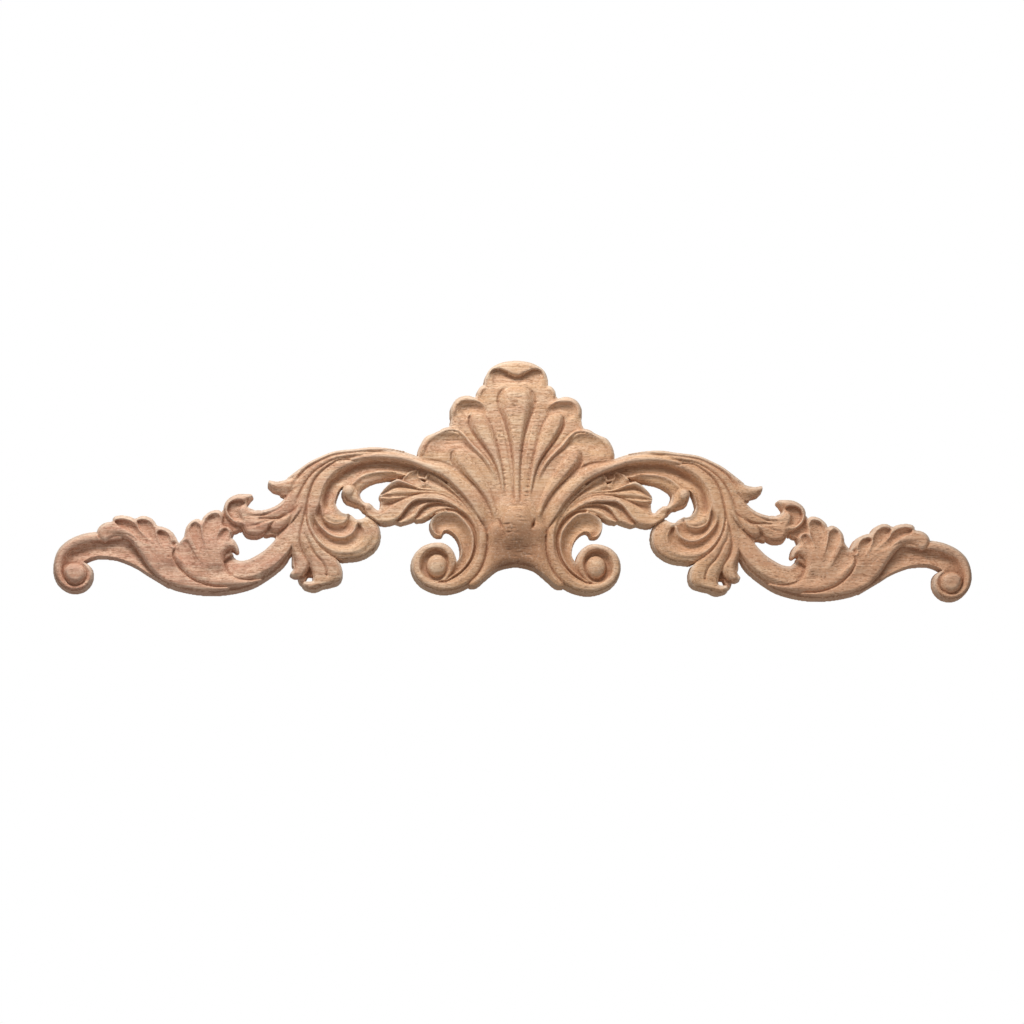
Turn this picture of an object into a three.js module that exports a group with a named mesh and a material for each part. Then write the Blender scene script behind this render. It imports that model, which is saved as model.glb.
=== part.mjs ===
// Carved wood applique: a shell over a knot, with a C-scroll, an arch and a run of
// wave leaves on each side, cut from one board of pale timber.
// Millimetres. X runs along the piece, Z is up, the flat back lies in the plane y = 0
// and the carving rises towards -Y.
import * as THREE from 'three';
import { ConvexHull } from 'three/addons/math/ConvexHull.js';

// Driving dimensions
const LENGTH = 400; // from tail scroll to tail scroll
const HEIGHT = 105; // from the lowest lobe of the fan to the top of the shell
const THICKNESS = 15; // from the flat back to the crown of the knot
const EDGE_DRAFT = 0.8; // how far the sawn edge leans out at the back

// Fineness of the worked surface
const GRID = LENGTH / 800; // spacing of the height samples
const SOFTNESS = 0.45; // how far the tool rounds a sharp arris
const SMALLEST_GAP = 0.6; // no two points of the carved surface are closer than this
const CARVED_POINTS = 1400; // points inside the outline of one half
const OUTLINE_TOLERANCE = 0.16; // how far the edge may leave its true curve
const ROWS = 49; // stations along each carved strip
const LOOP_POINTS = 121; // stations round each closed line
const SEAM = 0.6; // a strip reaches this far past its edges where only ground lies beside it
const MARGIN = 30; // spare board round the carving, with room for a drawing that is laid on larger
const SHORTEST_EDGE = 8; // an opening with fewer edge samples is only a slip between two strips
const EDGE_STEP = 3.2; // longest straight run of the edge
const AXIS_STEP = 2.2; // spacing of the points on the line where the two halves meet
const ROUNDS = 14; // rounds in which the carved points are added
const CORNER_SHARE = 0.02; // a new point keeps this far from the sides of its triangle
const RUN_SHARE = 0.55; // a new point stays outside this share of a run of the edge
const ROOM_SHARE = 0.3; // the back edge takes at most this share of the room beside it

// The front edge is drawn on a sheet of this size, so the carving keeps its shares of the whole
const SHEET = { length: 400.4, height: 104.3, thickness: 14.6 };
const onX = (LENGTH - 2 * EDGE_DRAFT) / SHEET.length;
const onZ = (HEIGHT - 2 * EDGE_DRAFT) / SHEET.height;
const onY = THICKNESS / SHEET.thickness;

const wood = new THREE.MeshStandardMaterial({
  name: 'carved_wood', color: 0xdcb48f, roughness: 0.75, metalness: 0,
});

// Height samples of the left half, from the back plane towards the viewer
const field = {
  x0: -Math.ceil((LENGTH / 2 + MARGIN) / GRID) * GRID,
  z0: -Math.ceil((HEIGHT / 2 + MARGIN) / GRID) * GRID,
};
field.columns = Math.round(-field.x0 / GRID) + 2;
field.rows = Math.round((HEIGHT + 2 * MARGIN) / GRID) + 1;
field.height = new Float64Array(field.columns * field.rows);
field.isGround = new Uint8Array(field.columns * field.rows); // 1 where only the low ground has been laid

// A smooth curve through a few points of the sheet, read at equal steps of its length
function curve(points, count, closed = false) {
  const through = points.map(([x, z]) => new THREE.Vector3(x * onX, z * onZ, 0));
  return new THREE.CatmullRomCurve3(through, closed, 'centripetal').getSpacedPoints(count - 1);
}

// Height share at place v across a strip. A knot is [place, height] at a sharp arris and
// [place, height, 1] where the surface is level and round.
function sectionAt(knots, v) {
  for (let i = 1; i < knots.length; i++) {
    const [a, b] = [knots[i - 1], knots[i]];
    if (v > b[0] && i < knots.length - 1) continue;
    let t = THREE.MathUtils.clamp((v - a[0]) / Math.max(b[0] - a[0], 1e-6), 0, 1);
    if (a[2] && b[2]) t = t * t * (3 - 2 * t);
    else if (b[2]) t = t * (2 - t);
    else if (a[2]) t = t * t;
    return a[1] + (b[1] - a[1]) * t;
  }
  return 0;
}

// Value at share u of a short list spread evenly from root to tip
function along(values, u) {
  const at = u * (values.length - 1);
  const i = Math.min(Math.floor(at), values.length - 2);
  return values.length === 1 ? values[0] : THREE.MathUtils.lerp(values[i], values[i + 1], at - i);
}

// Calls visit(x, z, cell) for each sample inside a box widened by a margin
function eachSample(xs, zs, margin, visit) {
  const i0 = Math.max(Math.floor((Math.min(...xs) - margin - field.x0) / GRID), 0);
  const i1 = Math.min(Math.ceil((Math.max(...xs) + margin - field.x0) / GRID), field.columns - 2);
  const j0 = Math.max(Math.floor((Math.min(...zs) - margin - field.z0) / GRID), 0);
  const j1 = Math.min(Math.ceil((Math.max(...zs) + margin - field.z0) / GRID), field.rows - 1);
  for (let j = j0; j <= j1; j++) {
    for (let i = i0; i <= i1; i++) visit(field.x0 + i * GRID, field.z0 + j * GRID, j * field.columns + i);
  }
}

// Rises gently from 0 to 1 over the first share of the way
function fadeIn(place, share) {
  return share > 0 ? THREE.MathUtils.smoothstep(place, 0, share) : 1;
}

// A strip of carving between two edges that run side by side, with its own cross-section. It
// covers what was laid before it; near its root, tip, left and right edge it may fade into it.
function ribbon(left, right, section, base, rise, fade = [0, 0, 0, 0], rows = ROWS) {
  const L = curve(left, rows);
  const R = curve(right, rows);
  for (let k = 0; k < rows - 1; k++) {
    const [a, b, c, d] = [L[k], R[k], L[k + 1], R[k + 1]];
    eachSample([a.x, b.x, c.x, d.x], [a.y, b.y, c.y, d.y], SEAM, (x, z, cell) => {
      const before = (b.x - a.x) * (z - a.y) - (b.y - a.y) * (x - a.x);
      const after = (d.x - c.x) * (z - c.y) - (d.y - c.y) * (x - c.x);
      const t = before / (before - after);
      if (!(t >= 0 && t <= 1)) return;
      const [lx, lz] = [a.x + (c.x - a.x) * t, a.y + (c.y - a.y) * t];
      const [wx, wz] = [b.x + (d.x - b.x) * t - lx, b.y + (d.y - b.y) * t - lz];
      const width = Math.max(Math.hypot(wx, wz), 1e-5);
      const across = ((x - lx) * wx + (z - lz) * wz) / width ** 2;
      const outside = Math.max(-across, across - 1) * width;
      if (outside > (field.isGround[cell] ? SEAM : 1e-6)) return;
      const u = (k + t) / (rows - 1);
      const v = THREE.MathUtils.clamp(across, 0, 1);
      const height = onY * (along(base, u) + along(rise, u) * sectionAt(section, v));
      const under = field.height[cell] > 0 && !field.isGround[cell] ? field.height[cell] : height;
      const [root, tip, leftFade, rightFade] = fade;
      const share = fadeIn(u, root) * fadeIn(1 - u, tip) * fadeIn(v, leftFade) * fadeIn(1 - v, rightFade);
      field.height[cell] = THREE.MathUtils.lerp(under, height, share);
      field.isGround[cell] = 0;
    });
  }
}

// Calls visit(cell, distance to the line) for each sample inside a closed line
function eachInside(outline, visit) {
  const loop = curve(outline, LOOP_POINTS, true);
  eachSample(loop.map((p) => p.x), loop.map((p) => p.y), 0, (x, z, cell) => {
    let inside = false;
    let nearest = Infinity;
    for (let i = 1; i < loop.length; i++) {
      const [a, b] = [loop[i - 1], loop[i]];
      if ((a.y > z) !== (b.y > z) && x < (b.x - a.x) * (z - a.y) / (b.y - a.y) + a.x) inside = !inside;
      nearest = Math.min(nearest, distanceToSegment(x, z, a, b));
    }
    if (inside) visit(cell, nearest);
  });
}

// A pad with a closed outline that swells from its edge to its top over a given width
function plate(outline, edge, top, width, isGround = false) {
  eachInside(outline, (cell, nearest) => {
    if (isGround && field.height[cell] > 0) return;
    const t = Math.min(nearest / (width * onX), 1);
    field.height[cell] = onY * (edge + (top - edge) * t * (2 - t));
    field.isGround[cell] = isGround ? 1 : 0;
  });
}

// An opening sawn right through along a closed line
function pierce(outline) {
  eachInside(outline, (cell) => {
    field.height[cell] = 0;
  });
}

// Low ground under the strips, so that no seam between two of them runs through the board
function ground(outline, height) {
  plate(outline, height, height, 1, true);
}

// A round boss
function dome([cx, cz], rx, rz, base, rise) {
  const [x0, z0, a, b] = [cx * onX, cz * onZ, rx * onX, rz * onZ];
  eachSample([x0 - a, x0 + a], [z0 - b, z0 + b], 0, (x, z, cell) => {
    const r = Math.hypot((x - x0) / a, (z - z0) / b);
    if (r > 1) return;
    field.height[cell] = onY * (base + rise * Math.sqrt(1 - r * r));
    field.isGround[cell] = 0;
  });
}

// Raises what is there by a soft round swelling, or sinks it where the rise is negative
function swell([cx, cz], rx, rz, rise) {
  const [x0, z0, a, b] = [cx * onX, cz * onZ, rx * onX, rz * onZ];
  eachSample([x0 - a, x0 + a], [z0 - b, z0 + b], 0, (x, z, cell) => {
    const r = Math.min(Math.hypot((x - x0) / a, (z - z0) / b), 1);
    if (field.height[cell] > 0) field.height[cell] += onY * rise * (1 - r * r) ** 2;
  });
}

// A fine line cut into what is there, to a depth read along its length
function vein(points, width, depth) {
  const line = curve(points, ROWS);
  eachSample(line.map((p) => p.x), line.map((p) => p.y), width, (x, z, cell) => {
    const found = { off: Infinity, u: 0 };
    for (let k = 0; k < line.length - 1; k++) {
      const off = distanceToSegment(x, z, line[k], line[k + 1]);
      if (off < found.off) Object.assign(found, { off, u: k / (line.length - 1) });
    }
    const cut = onY * along(depth, found.u) * fadeIn(1 - found.off / width, 1);
    if (field.height[cell] > 0) field.height[cell] -= cut;
  });
}

function distanceToSegment(x, z, a, b) {
  const [dx, dz] = [b.x - a.x, b.y - a.y];
  const ahead = (x - a.x) * dx + (z - a.y) * dz;
  const t = THREE.MathUtils.clamp(ahead / Math.max(dx * dx + dz * dz, 1e-12), 0, 1);
  return Math.hypot(x - a.x - t * dx, z - a.y - t * dz);
}

const ROUND = [[0, 0], [0.5, 1, 1], [1, 0]];
const ROLL = [[0, 0], [0.4, 1, 1], [1, 0.2]];
const BEVEL = [[0, 0], [1, 1]];
const TONGUE = [[0, 0, 1], [0.16, 0.7], [0.34, 0.97, 1], [0.66, 0.97, 1], [0.84, 0.7], [1, 0, 1]];
const HOLLOW = [[0, 0.85], [0.4, 0, 1], [1, 0.65]];
const CURL = [[0, 1], [0.12, 0.6], [0.42, 0, 1], [1, 1]];
const STRAND = [[0, 0.1], [0.4, 1, 1], [0.75, 0.85, 1], [1, 0.1]];


// Low ground, so that no seam between two strips runs right through
// Shell
ground(
  [[0, 52], [-7.7, 51], [-12, 48], [-13.3, 42.5], [-16.5, 40], [-17, 36.5], [-23.6, 36.5], [-28, 32],
   [-28, 25.5], [-29.3, 22.8], [-35, 19.8], [-41, 16], [-42.7, 10], [-41, 7], [-30, -1], [-20, -12],
   [-16, -24], [-18, -40], [-30, -48], [-20, -46.6], [-12, -41], [0, -37.4], [12, -41], [20, -46.6],
   [16, -24], [20, -12], [30, -1], [41, 7], [42.7, 10], [35, 19.8], [28, 25.5], [28, 32], [17, 36.5],
   [13.3, 42.5], [7.7, 51]],
  7);
// Acanthus leaf
ground(
  [[-24, -11], [-30, -6], [-36, 1], [-42.5, 3.4], [-49, 6], [-48, 1], [-51, 0.4], [-53, -1.4],
   [-58.6, -7], [-58.8, -12], [-60.2, -14.4], [-65, -12.8], [-62, -17.8], [-54, -18.2], [-44, -17.6],
   [-38, -16.8], [-30, -14], [-22, -17]],
  5);
// Joint of the sweeping band and the petals
ground(
  [[-16, -26], [-15, -16], [-21, -7], [-29, 1], [-38, 4], [-36, 0], [-28, -7], [-22, -13], [-18.4, -20]],
  6);
// Scroll
ground(
  [[-20, -12], [-31, -13], [-31, -14.6], [-26, -15.5], [-22, -19], [-19.6, -23], [-18.6, -29],
   [-20, -35], [-23.7, -40], [-28, -43.2], [-34, -45.2], [-34, -47.4], [-27, -47], [-20, -44.4],
   [-15.5, -36], [-14, -28], [-15, -20]],
  6);
// Joint of the hook leaf and the large leaf
ground(
  [[-127.6, -15], [-128.2, -19], [-126.4, -22.6], [-123.6, -24.2], [-121.6, -23.8], [-119.6, -23],
   [-121, -19], [-125, -15]],
  6);
// Joint of the hook leaf and the stem
ground(
  [[-97, -18], [-101.5, -21.6], [-104, -22.6], [-107.6, -21.6], [-109.6, -23.6], [-109.4, -25.6],
   [-106.4, -25], [-104.4, -25.8], [-104.6, -27.6], [-102.5, -28.4], [-97, -26]],
  6);
// Joint of the curl ball and the leaf
ground(
  [[-70, -9.6], [-67.8, -10], [-66.5, -11.2], [-64, -11.4], [-64, -14.6], [-66, -14.6], [-68, -12.9],
   [-70.4, -12]],
  5.6);
// Recess in the fan
ground([[-91, -37.6], [-89, -38.4], [-87.6, -42.6], [-89.4, -43], [-91.4, -42.6]], 3.4);
// Joint of the fan's hook
ground([[-91.2, -43], [-92, -45.6], [-92.2, -47], [-93.6, -46.4], [-94.2, -43.4]], 4.6);
// Curls
ground(
  [[-84.6, -10], [-79.4, -11.5], [-78.4, -13.6], [-77, -15.2], [-75.2, -16.3], [-72.3, -16.5],
   [-70.6, -18], [-69, -18.8], [-66.6, -18.2], [-64, -19.8], [-60.4, -24], [-62, -31.5], [-70, -35],
   [-80, -34], [-86, -28], [-90, -18]],
  6.2);
// Strands
ground(
  [[-99.5, -1.4], [-92, 4.6], [-78, 10], [-64, 11], [-50, 8], [-64, 8], [-74, 4.6], [-80, 3], [-84, -6],
   [-83, -18], [-88, -24], [-91, -36], [-96.6, -40], [-97.4, -30], [-104, -24], [-107, -21.6],
   [-113, -25.6], [-118, -23.6], [-121.6, -20], [-124, -13], [-116, -15.6], [-108, -15], [-100.4, -9],
   [-103, -6.8]],
  6.4);
// Stem and leaves
ground(
  [[-97, -21.4], [-103.5, -28], [-117, -37.6], [-123.6, -34], [-124, -28], [-125, -22], [-128, -18],
   [-133, -16.8], [-136.6, -20.6], [-143, -27.4], [-146.6, -31.4], [-148.4, -28], [-154, -24.4],
   [-158, -20.6], [-164, -19.4], [-172, -20], [-178, -23], [-177, -28], [-166, -30], [-160, -38],
   [-150, -47.6], [-140, -50], [-125, -49.6], [-112, -46], [-100, -35.6], [-95, -30]],
  6.4);
// Edge of the tail
ground([[-194, -38], [-198.6, -40], [-198.6, -45], [-195.4, -48.6], [-193, -44]], 5.4);
// Knob of the tail
ground(
  [[-197, -42], [-196, -47.6], [-191, -50], [-186.6, -49], [-184.4, -45], [-184.8, -41], [-187.6, -38.8],
   [-192, -38.4]],
  5);
// Tail
ground(
  [[-148, -47], [-160, -38], [-172, -30], [-184, -30], [-194, -34], [-197, -42], [-190, -48],
   [-185.6, -44], [-190, -39], [-184, -36], [-170, -37], [-156, -44.5]],
  5.4);

// Shell: a dished field, its rolled lips and coves, then the tongues
// Field of the shell
plate(
  [[0, 52.6], [-4.3, 52.2], [-7.7, 51.2], [-11.6, 48.2], [-13.3, 44.6], [-13.6, 42], [-15.5, 41.2],
   [-16.9, 38.6], [-17, 36.2], [-21.6, 36.8], [-25.9, 35.5], [-28.3, 32], [-28.3, 27], [-29.3, 23],
   [-33, 21.4], [-37.3, 19.4], [-41, 16.3], [-42.6, 12], [-42.6, 8], [-30, -1], [-20, -12], [-13, -24],
   [0, -20], [13, -24], [20, -12], [30, -1], [42.6, 8], [42.6, 12], [41, 16.3], [37.3, 19.4], [33, 21.4],
   [29.3, 23], [28.3, 27], [28.3, 32], [25.9, 35.5], [21.6, 36.8], [17, 36.2], [16.9, 38.6],
   [15.5, 41.2], [13.6, 42], [13.3, 44.6], [11.6, 48.2], [7.7, 51.2], [4.3, 52.2]],
  7.6, 8.8, 7);
// Rise of the shell towards the knot
swell([0, -8], 34, 46, 0.7);
// Cove of the left lobe
ribbon(
  [[-14.4, 10], [-18.5, 14.4], [-23.6, 19], [-28.9, 20.8], [-33.5, 19.8], [-37.5, 16.5], [-39.5, 12]],
  [[-14, 7], [-18, 9.4], [-22, 11.4], [-25.5, 12.6], [-28.5, 11.6], [-31, 9.6], [-34, 7.6]],
  [[0, 1], [0.16, 0.35], [0.45, 0, 1], [1, 0.8, 1]], [8.6, 7.8, 7.5, 7.6], [1, 1.6, 1.9, 0.9],
  [0.3, 0.25, 0, 0.3]);
// Lip of the left lobe
ribbon(
  [[-27.6, 24.4], [-29.4, 22.9], [-32.3, 22.1], [-35, 20], [-39.4, 18.5], [-41.6, 15.5], [-42.6, 12.5],
   [-42.9, 9.4]],
  [[-22.6, 19.6], [-25.6, 20.8], [-28.9, 21], [-32, 20.4], [-36, 17.8], [-38.8, 15], [-40, 12.5],
   [-41, 8.8]],
  [[0, 0.1], [0.55, 1, 1], [1, 0.75]], [7.6, 7.5], [1.6, 2.2, 1.8, 1.4], [0.15, 0.1, 0, 0]);
// Fold between the lobes
ribbon(
  [[-28.6, 23], [-25, 22], [-22, 19.6], [-19, 16], [-15.6, 12.4], [-12.6, 9], [-9.8, 4.6], [-8, -1]],
  [[-29, 21], [-26, 20], [-23.6, 17.6], [-20.9, 13.8], [-17.4, 10.2], [-14.2, 6.6], [-11.4, 1.6],
   [-9.4, -4]],
  [[0, 0, 1], [0.45, 1, 1], [1, 0, 1]], [8, 8.4, 8.8, 9.4], [1.2, 1.8, 1.8, 0.6], [0.15, 0.2, 0, 0]);
// Cove of the middle lobe
ribbon(
  [[-11.6, 30.4], [-15.4, 33.1], [-19.9, 34.2], [-23.6, 34], [-25.9, 32], [-26.2, 27.5]],
  [[-12, 27], [-15, 28.6], [-18, 29.4], [-20.5, 28.6], [-21.4, 27], [-22, 24.4]],
  [[0, 1], [0.2, 0.25], [0.5, 0, 1], [1, 0.5, 1]], [8, 7.3, 7.3, 7.6], [0.9, 1.6, 1.8, 1],
  [0.25, 0.2, 0, 0.15]);
// Lip of the middle lobe
ribbon(
  [[-14.6, 35], [-18.5, 36.1], [-21.6, 37], [-25.9, 35.7], [-28.2, 32.5], [-28.6, 29.5], [-28.1, 26.5]],
  [[-12.6, 31.8], [-17.8, 34], [-20.3, 34.1], [-23.6, 34], [-25.9, 32], [-26.5, 29.5], [-26.2, 27.5]],
  [[0, 0], [0.6, 1, 1], [1, 0.6]], [7.6], [1.8, 2.4, 1.6], [0.2, 0.15, 0, 0]);
// Cove of the top lobe
ribbon(
  [[-10.9, 42], [-10.7, 46], [-10.2, 48.4], [-7.8, 49.1], [-4.8, 47.9], [-2.5, 46.5], [0, 45.9],
   [2.5, 46.5]],
  [[-10.4, 38], [-9.4, 39.6], [-7.4, 40.9], [-5, 41.6], [-2.6, 42], [-1, 42.1], [0, 42.1], [2.6, 42]],
  [[0, 0.3], [0.3, 0, 1], [1, 0.9, 1]], [7.6, 7.3, 7.1, 7.3], [0.8, 1, 1.1, 1], [0.25, 0, 0, 0.2]);
// Lip of the top lobe
ribbon(
  [[-13.7, 41.6], [-13.4, 45.5], [-11.8, 48.7], [-7.7, 51.6], [-4.3, 52.6], [0, 53], [4.3, 52.6]],
  [[-12, 41.4], [-11.8, 45], [-10.9, 48.3], [-7.8, 49.1], [-4.6, 47.8], [0, 45.9], [4.6, 47.8]],
  [[0, 0], [0.35, 0.9, 1], [0.85, 1, 1], [1, 0.5]], [7.6, 7.4], [1, 2, 2.4, 2], [0.3, 0, 0, 0]);
// Step of the rim
ribbon(
  [[-12.6, 42], [-15.1, 41.6], [-16.8, 39.5], [-17.1, 37.8], [-17, 35.8]],
  [[-12, 40], [-13.8, 39.4], [-15, 38.4], [-15.4, 37], [-14.6, 35.4]],
  [[0, 0], [0.55, 1, 1], [1, 0.5]], [7.6], [1.2], [0.3, 0.3, 0, 0.2]);
// Outer tongue
ribbon(
  [[-27, 13.2], [-29, 10.6], [-28.4, 6.6], [-23.8, 0.6], [-19.5, -3.8], [-14.8, -9], [-12, -14],
   [-10.2, -19.4]],
  [[-24.6, 14], [-21.4, 12], [-18, 8], [-15, 3.2], [-12.4, -1.8], [-10.4, -7], [-9, -12], [-8.2, -17]],
  [[0, 0, 1], [0.4, 1, 1], [0.6, 0.95, 1], [1, 0.3, 1]], [7.6, 7.8, 8.2, 8.7, 9.1], [2, 3.2, 3, 2.2, 1],
  [0.12, 0.1, 0, 0.15]);
// Inner tongue
ribbon(
  [[-18.8, 29.9], [-21, 27.6], [-21, 23.4], [-17.4, 17], [-13.6, 12], [-10.4, 7.2], [-8.2, 1.4],
   [-6.9, -5], [-6, -10]],
  [[-17.2, 30], [-14, 28.8], [-11.5, 25.4], [-9.9, 21], [-8.2, 14.4], [-6.9, 8], [-5.8, 2], [-5.2, -4],
   [-4.9, -9]],
  [[0, 0, 1], [0.32, 0.95, 1], [0.55, 1, 1], [0.85, 0.7], [1, 0.2]], [7.4, 7.6, 8, 8.6, 9],
  [2.4, 3.2, 3, 2.2, 1], [0.1, 0.15, 0, 0]);
// Flat between the tongues
ribbon(
  [[-11.2, 34], [-10.4, 28], [-9.5, 22], [-7.9, 14], [-6.6, 8], [-5.5, 2], [-5, -4], [-4.8, -11.4]],
  [[-9, 37.6], [-8.4, 33], [-7.2, 27], [-5.9, 22], [-4.2, 14], [-3.2, 8], [-2.5, 2], [-2, -4],
   [-1.8, -11.6]],
  [[0, 0.2], [0.2, 0.9, 1], [0.8, 1, 1], [1, 0.2]], [8.2, 8.5, 8.8, 9.2], [0.9, 1.1, 1, 0.6],
  [0.25, 0.12, 0, 0]);
// Middle tongue
ribbon(
  [[-2.6, 41.6], [-6.6, 40], [-8.7, 36], [-8, 31.4], [-5.7, 25.4], [-3.8, 18.5], [-2.5, 11.5], [-1.8, 2],
   [-1.6, -5], [-1.6, -12.4]],
  [[2.6, 41.6], [6.6, 40], [8.7, 36], [8, 31.4], [5.7, 25.4], [3.8, 18.5], [2.5, 11.5], [1.8, 2],
   [1.6, -5], [1.6, -12.4]],
  [[0, 0, 1], [0.14, 0.45], [0.34, 0.93, 1], [0.66, 0.93, 1], [0.86, 0.45], [1, 0, 1]],
  [8, 8, 8.2, 8.6, 9, 9.2], [3, 3.6, 3.2, 2.4, 1.6, 1.2], [0.13, 0.06, 0, 0]);

// Arch: its hollow channel, the curl ball and the strands on its back
// Sweeping band
ribbon(
  [[-72, 7], [-64, 8.3], [-56, 8.2], [-49.1, 7.2], [-40, 3.8], [-33, 0.5], [-27.5, -4], [-22.5, -9.5],
   [-19, -14.8], [-17, -20], [-15.6, -26]],
  [[-74, 9], [-66, 11.2], [-57, 12.4], [-49.1, 11.4], [-41, 8.8], [-31, 7], [-24, 2.4], [-17.4, -4],
   [-13.4, -10.5], [-11.8, -17], [-12.4, -25]],
  [[0, 0.3], [0.16, 0.95, 1], [0.36, 1, 1], [1, 0, 1]], [8, 7.8, 8, 8.2, 9, 9.4],
  [1.6, 2.4, 2.6, 2.4, 2, 0.6], [0.1, 0.12, 0, 0]);
// Arch channel
ribbon(
  [[-30, -1.6], [-36, 1.9], [-42, 4.6], [-49.1, 7.2], [-56, 8.1], [-64.5, 8.1], [-71, 6.4], [-78.2, 2.5],
   [-82.6, -2.4], [-85, -9.9], [-84.6, -14.3], [-83.4, -18.6]],
  [[-31, -3], [-38, -0.6], [-44, 0.8], [-49.1, 1.5], [-55, 2.9], [-62, 2.5], [-67, 1], [-72.7, -3.2],
   [-76.6, -4.4], [-79, -9.4], [-79, -13], [-76.6, -17]],
  [[0, 1], [0.08, 0.7], [0.38, 0, 1], [0.8, 0.25, 1], [1, 0.7]], [6.4, 5.6, 5.2, 5, 5, 5.2, 5.6],
  [1.6, 3, 3.6, 4.2, 4.2, 3.6, 3]);
// Strand on the arch
ribbon(
  [[-49, 11.6], [-56.8, 12.9], [-64, 13.2], [-70, 12.4], [-80, 11.1], [-86.7, 8.3], [-90, 6.6],
   [-94.1, 3.7], [-97.4, 1.2], [-100, -0.9]],
  [[-50, 10.6], [-56, 11.2], [-64, 11.5], [-70, 10.9], [-80, 9.6], [-84, 8], [-88.2, 5.9], [-92, 3.4],
   [-94.9, 0.1], [-98, -3.6]],
  ROLL, [8.4, 7.8, 7.4], [1, 1.6, 2], [0.3, 0, 0, 0]);
// Second strand
ribbon(
  [[-58, 11.2], [-64, 11.5], [-70, 10.9], [-80, 9.6], [-84, 8], [-88.2, 5.9], [-92, 3.4], [-94.9, 0.1],
   [-97.4, -3], [-100, -8.2]],
  [[-60, 9.4], [-66, 9.4], [-71, 9.1], [-77.7, 8.1], [-81.5, 6.7], [-85.6, 4.1], [-89.2, 1.2],
   [-91.8, -2.2], [-95.4, -9], [-99.6, -20.6]],
  STRAND, [8.2, 8, 7.8, 7.4], [1.6, 2, 1.8, 1.4], [0.25, 0, 0, 0]);
// Foot of the first fan lobe
plate(
  [[-95, -37.4], [-96.3, -40], [-97.2, -41.7], [-97.9, -42.7], [-96.8, -43.5], [-95.1, -43.7],
   [-93.4, -43.5], [-91.9, -42.4], [-91.1, -40.9], [-90.6, -38.6], [-92.6, -36.6]],
  6.8, 7.8, 1.2);
// Foot of the fan
plate(
  [[-86, -40.6], [-88, -43.4], [-88.3, -45.8], [-90.2, -46.3], [-92.2, -46.3], [-92.7, -47.1],
   [-91.9, -48.4], [-90.2, -49.1], [-87.9, -49.5], [-86.2, -49.1], [-84.4, -48.2], [-82.1, -47.7],
   [-79.8, -47.1], [-77.8, -46.4], [-76.6, -45.1], [-76.3, -42.4], [-79, -40]],
  6.8, 7.8, 1.2);
// Strand to the first fan lobe
ribbon(
  [[-71, 9.1], [-77.7, 8.1], [-81.5, 6.7], [-85.6, 4.1], [-89.2, 1.2], [-91.8, -2.2], [-94.1, -6.4],
   [-97.4, -15.6], [-98.8, -22], [-98.6, -28], [-97.3, -33.8], [-95.9, -38], [-96.6, -41],
   [-97.4, -42.8]],
  [[-72, 8], [-78, 7.4], [-80.6, 5.8], [-83.6, 3.7], [-87.2, 0.1], [-89.2, -3.6], [-90.6, -8.6],
   [-92, -16], [-93.6, -22], [-94.4, -27.6], [-93.4, -33], [-90.3, -38], [-91.1, -41], [-93, -43.5]],
  STRAND, [8, 8, 7.6, 7, 6.4], [1.4, 1.8, 2, 2, 1.8], [0.12, 0, 0, 0]);
// Strand to the second fan lobe
ribbon(
  [[-70, 8], [-78, 7.4], [-80.6, 5.8], [-83.6, 3.7], [-87.2, 0.1], [-89.2, -3.6], [-90.6, -8.6],
   [-92, -16], [-93.6, -22], [-94.4, -28], [-91.8, -35.4], [-89.4, -39.4], [-88.2, -43], [-88.4, -46.2],
   [-92.4, -46.6]],
  [[-70, 7.4], [-76, 5.9], [-79.4, 3.8], [-82.4, 1], [-85, -3], [-86.8, -8], [-88, -13], [-90, -19],
   [-91.4, -25], [-89.6, -31], [-87, -34.9], [-84.7, -37.3], [-82.6, -41], [-82.8, -44.6],
   [-90.2, -48.4]],
  [[0, 0.1], [0.4, 0.85, 1], [1, 1, 1]], [8, 7.8, 7.4, 7, 6.6], [1.4, 1.8, 2, 2, 1.6], [0.15, 0, 0, 0]);
// Strand to the third fan lobe
ribbon(
  [[-70, 7.4], [-76, 5.9], [-79.4, 3.8], [-82.4, 1], [-85, -3], [-86.8, -8], [-88, -13], [-90, -19],
   [-91.4, -25], [-89.6, -31], [-87, -34.9], [-84.7, -37.3], [-82.6, -41], [-82.8, -44.6],
   [-90.2, -48.4]],
  [[-70, 6.8], [-74.1, 4.9], [-78.2, 2.5], [-81.5, -0.9], [-83.9, -4.9], [-85.2, -9.9], [-86.4, -15],
   [-88.2, -20], [-88, -25], [-86.4, -28.4], [-84, -31.8], [-79.4, -35.4], [-76.6, -38.6], [-76.6, -45],
   [-90.2, -49.1]],
  [[0, 1, 1], [0.6, 1, 1], [1, 0.2]], [8, 7.8, 7.4, 7, 6.6], [1.4, 1.8, 2, 2, 1.6], [0.15, 0, 0, 0]);
// Vein of the fan
vein(
  [[-93.2, -20], [-92.2, -25.6], [-90.5, -28.5], [-89, -31.8], [-87, -34.9], [-84.7, -37.3],
   [-82.9, -40.4], [-82.3, -43.6]],
  0.9, [0, 0.9, 1.1, 0.7]);
// Floor of the arch
ribbon(
  [[-72.4, -3.6], [-70.6, -1.6], [-67, 1.2], [-60.1, 2.9], [-54, 2.4], [-49.1, 1.5]],
  [[-69, -7], [-68.2, -5], [-66, -3], [-60, -0.8], [-56.6, 0], [-52.4, 0]],
  [[0, 1], [0.14, 0.9], [0.6, 0.4, 1], [1, 0]], [6, 5.6, 5], [2, 2.4, 2], [0.12, 0, 0, 0]);
// Stalk of the curl ball
ribbon(
  [[-70.8, -3], [-69, -6], [-68, -9], [-65.6, -11.4]],
  [[-75.8, -7.4], [-74.2, -10.2], [-70.8, -11.6], [-66.2, -13.6]],
  ROUND, [6.6, 6.2], [2.6, 1.4]);
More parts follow.
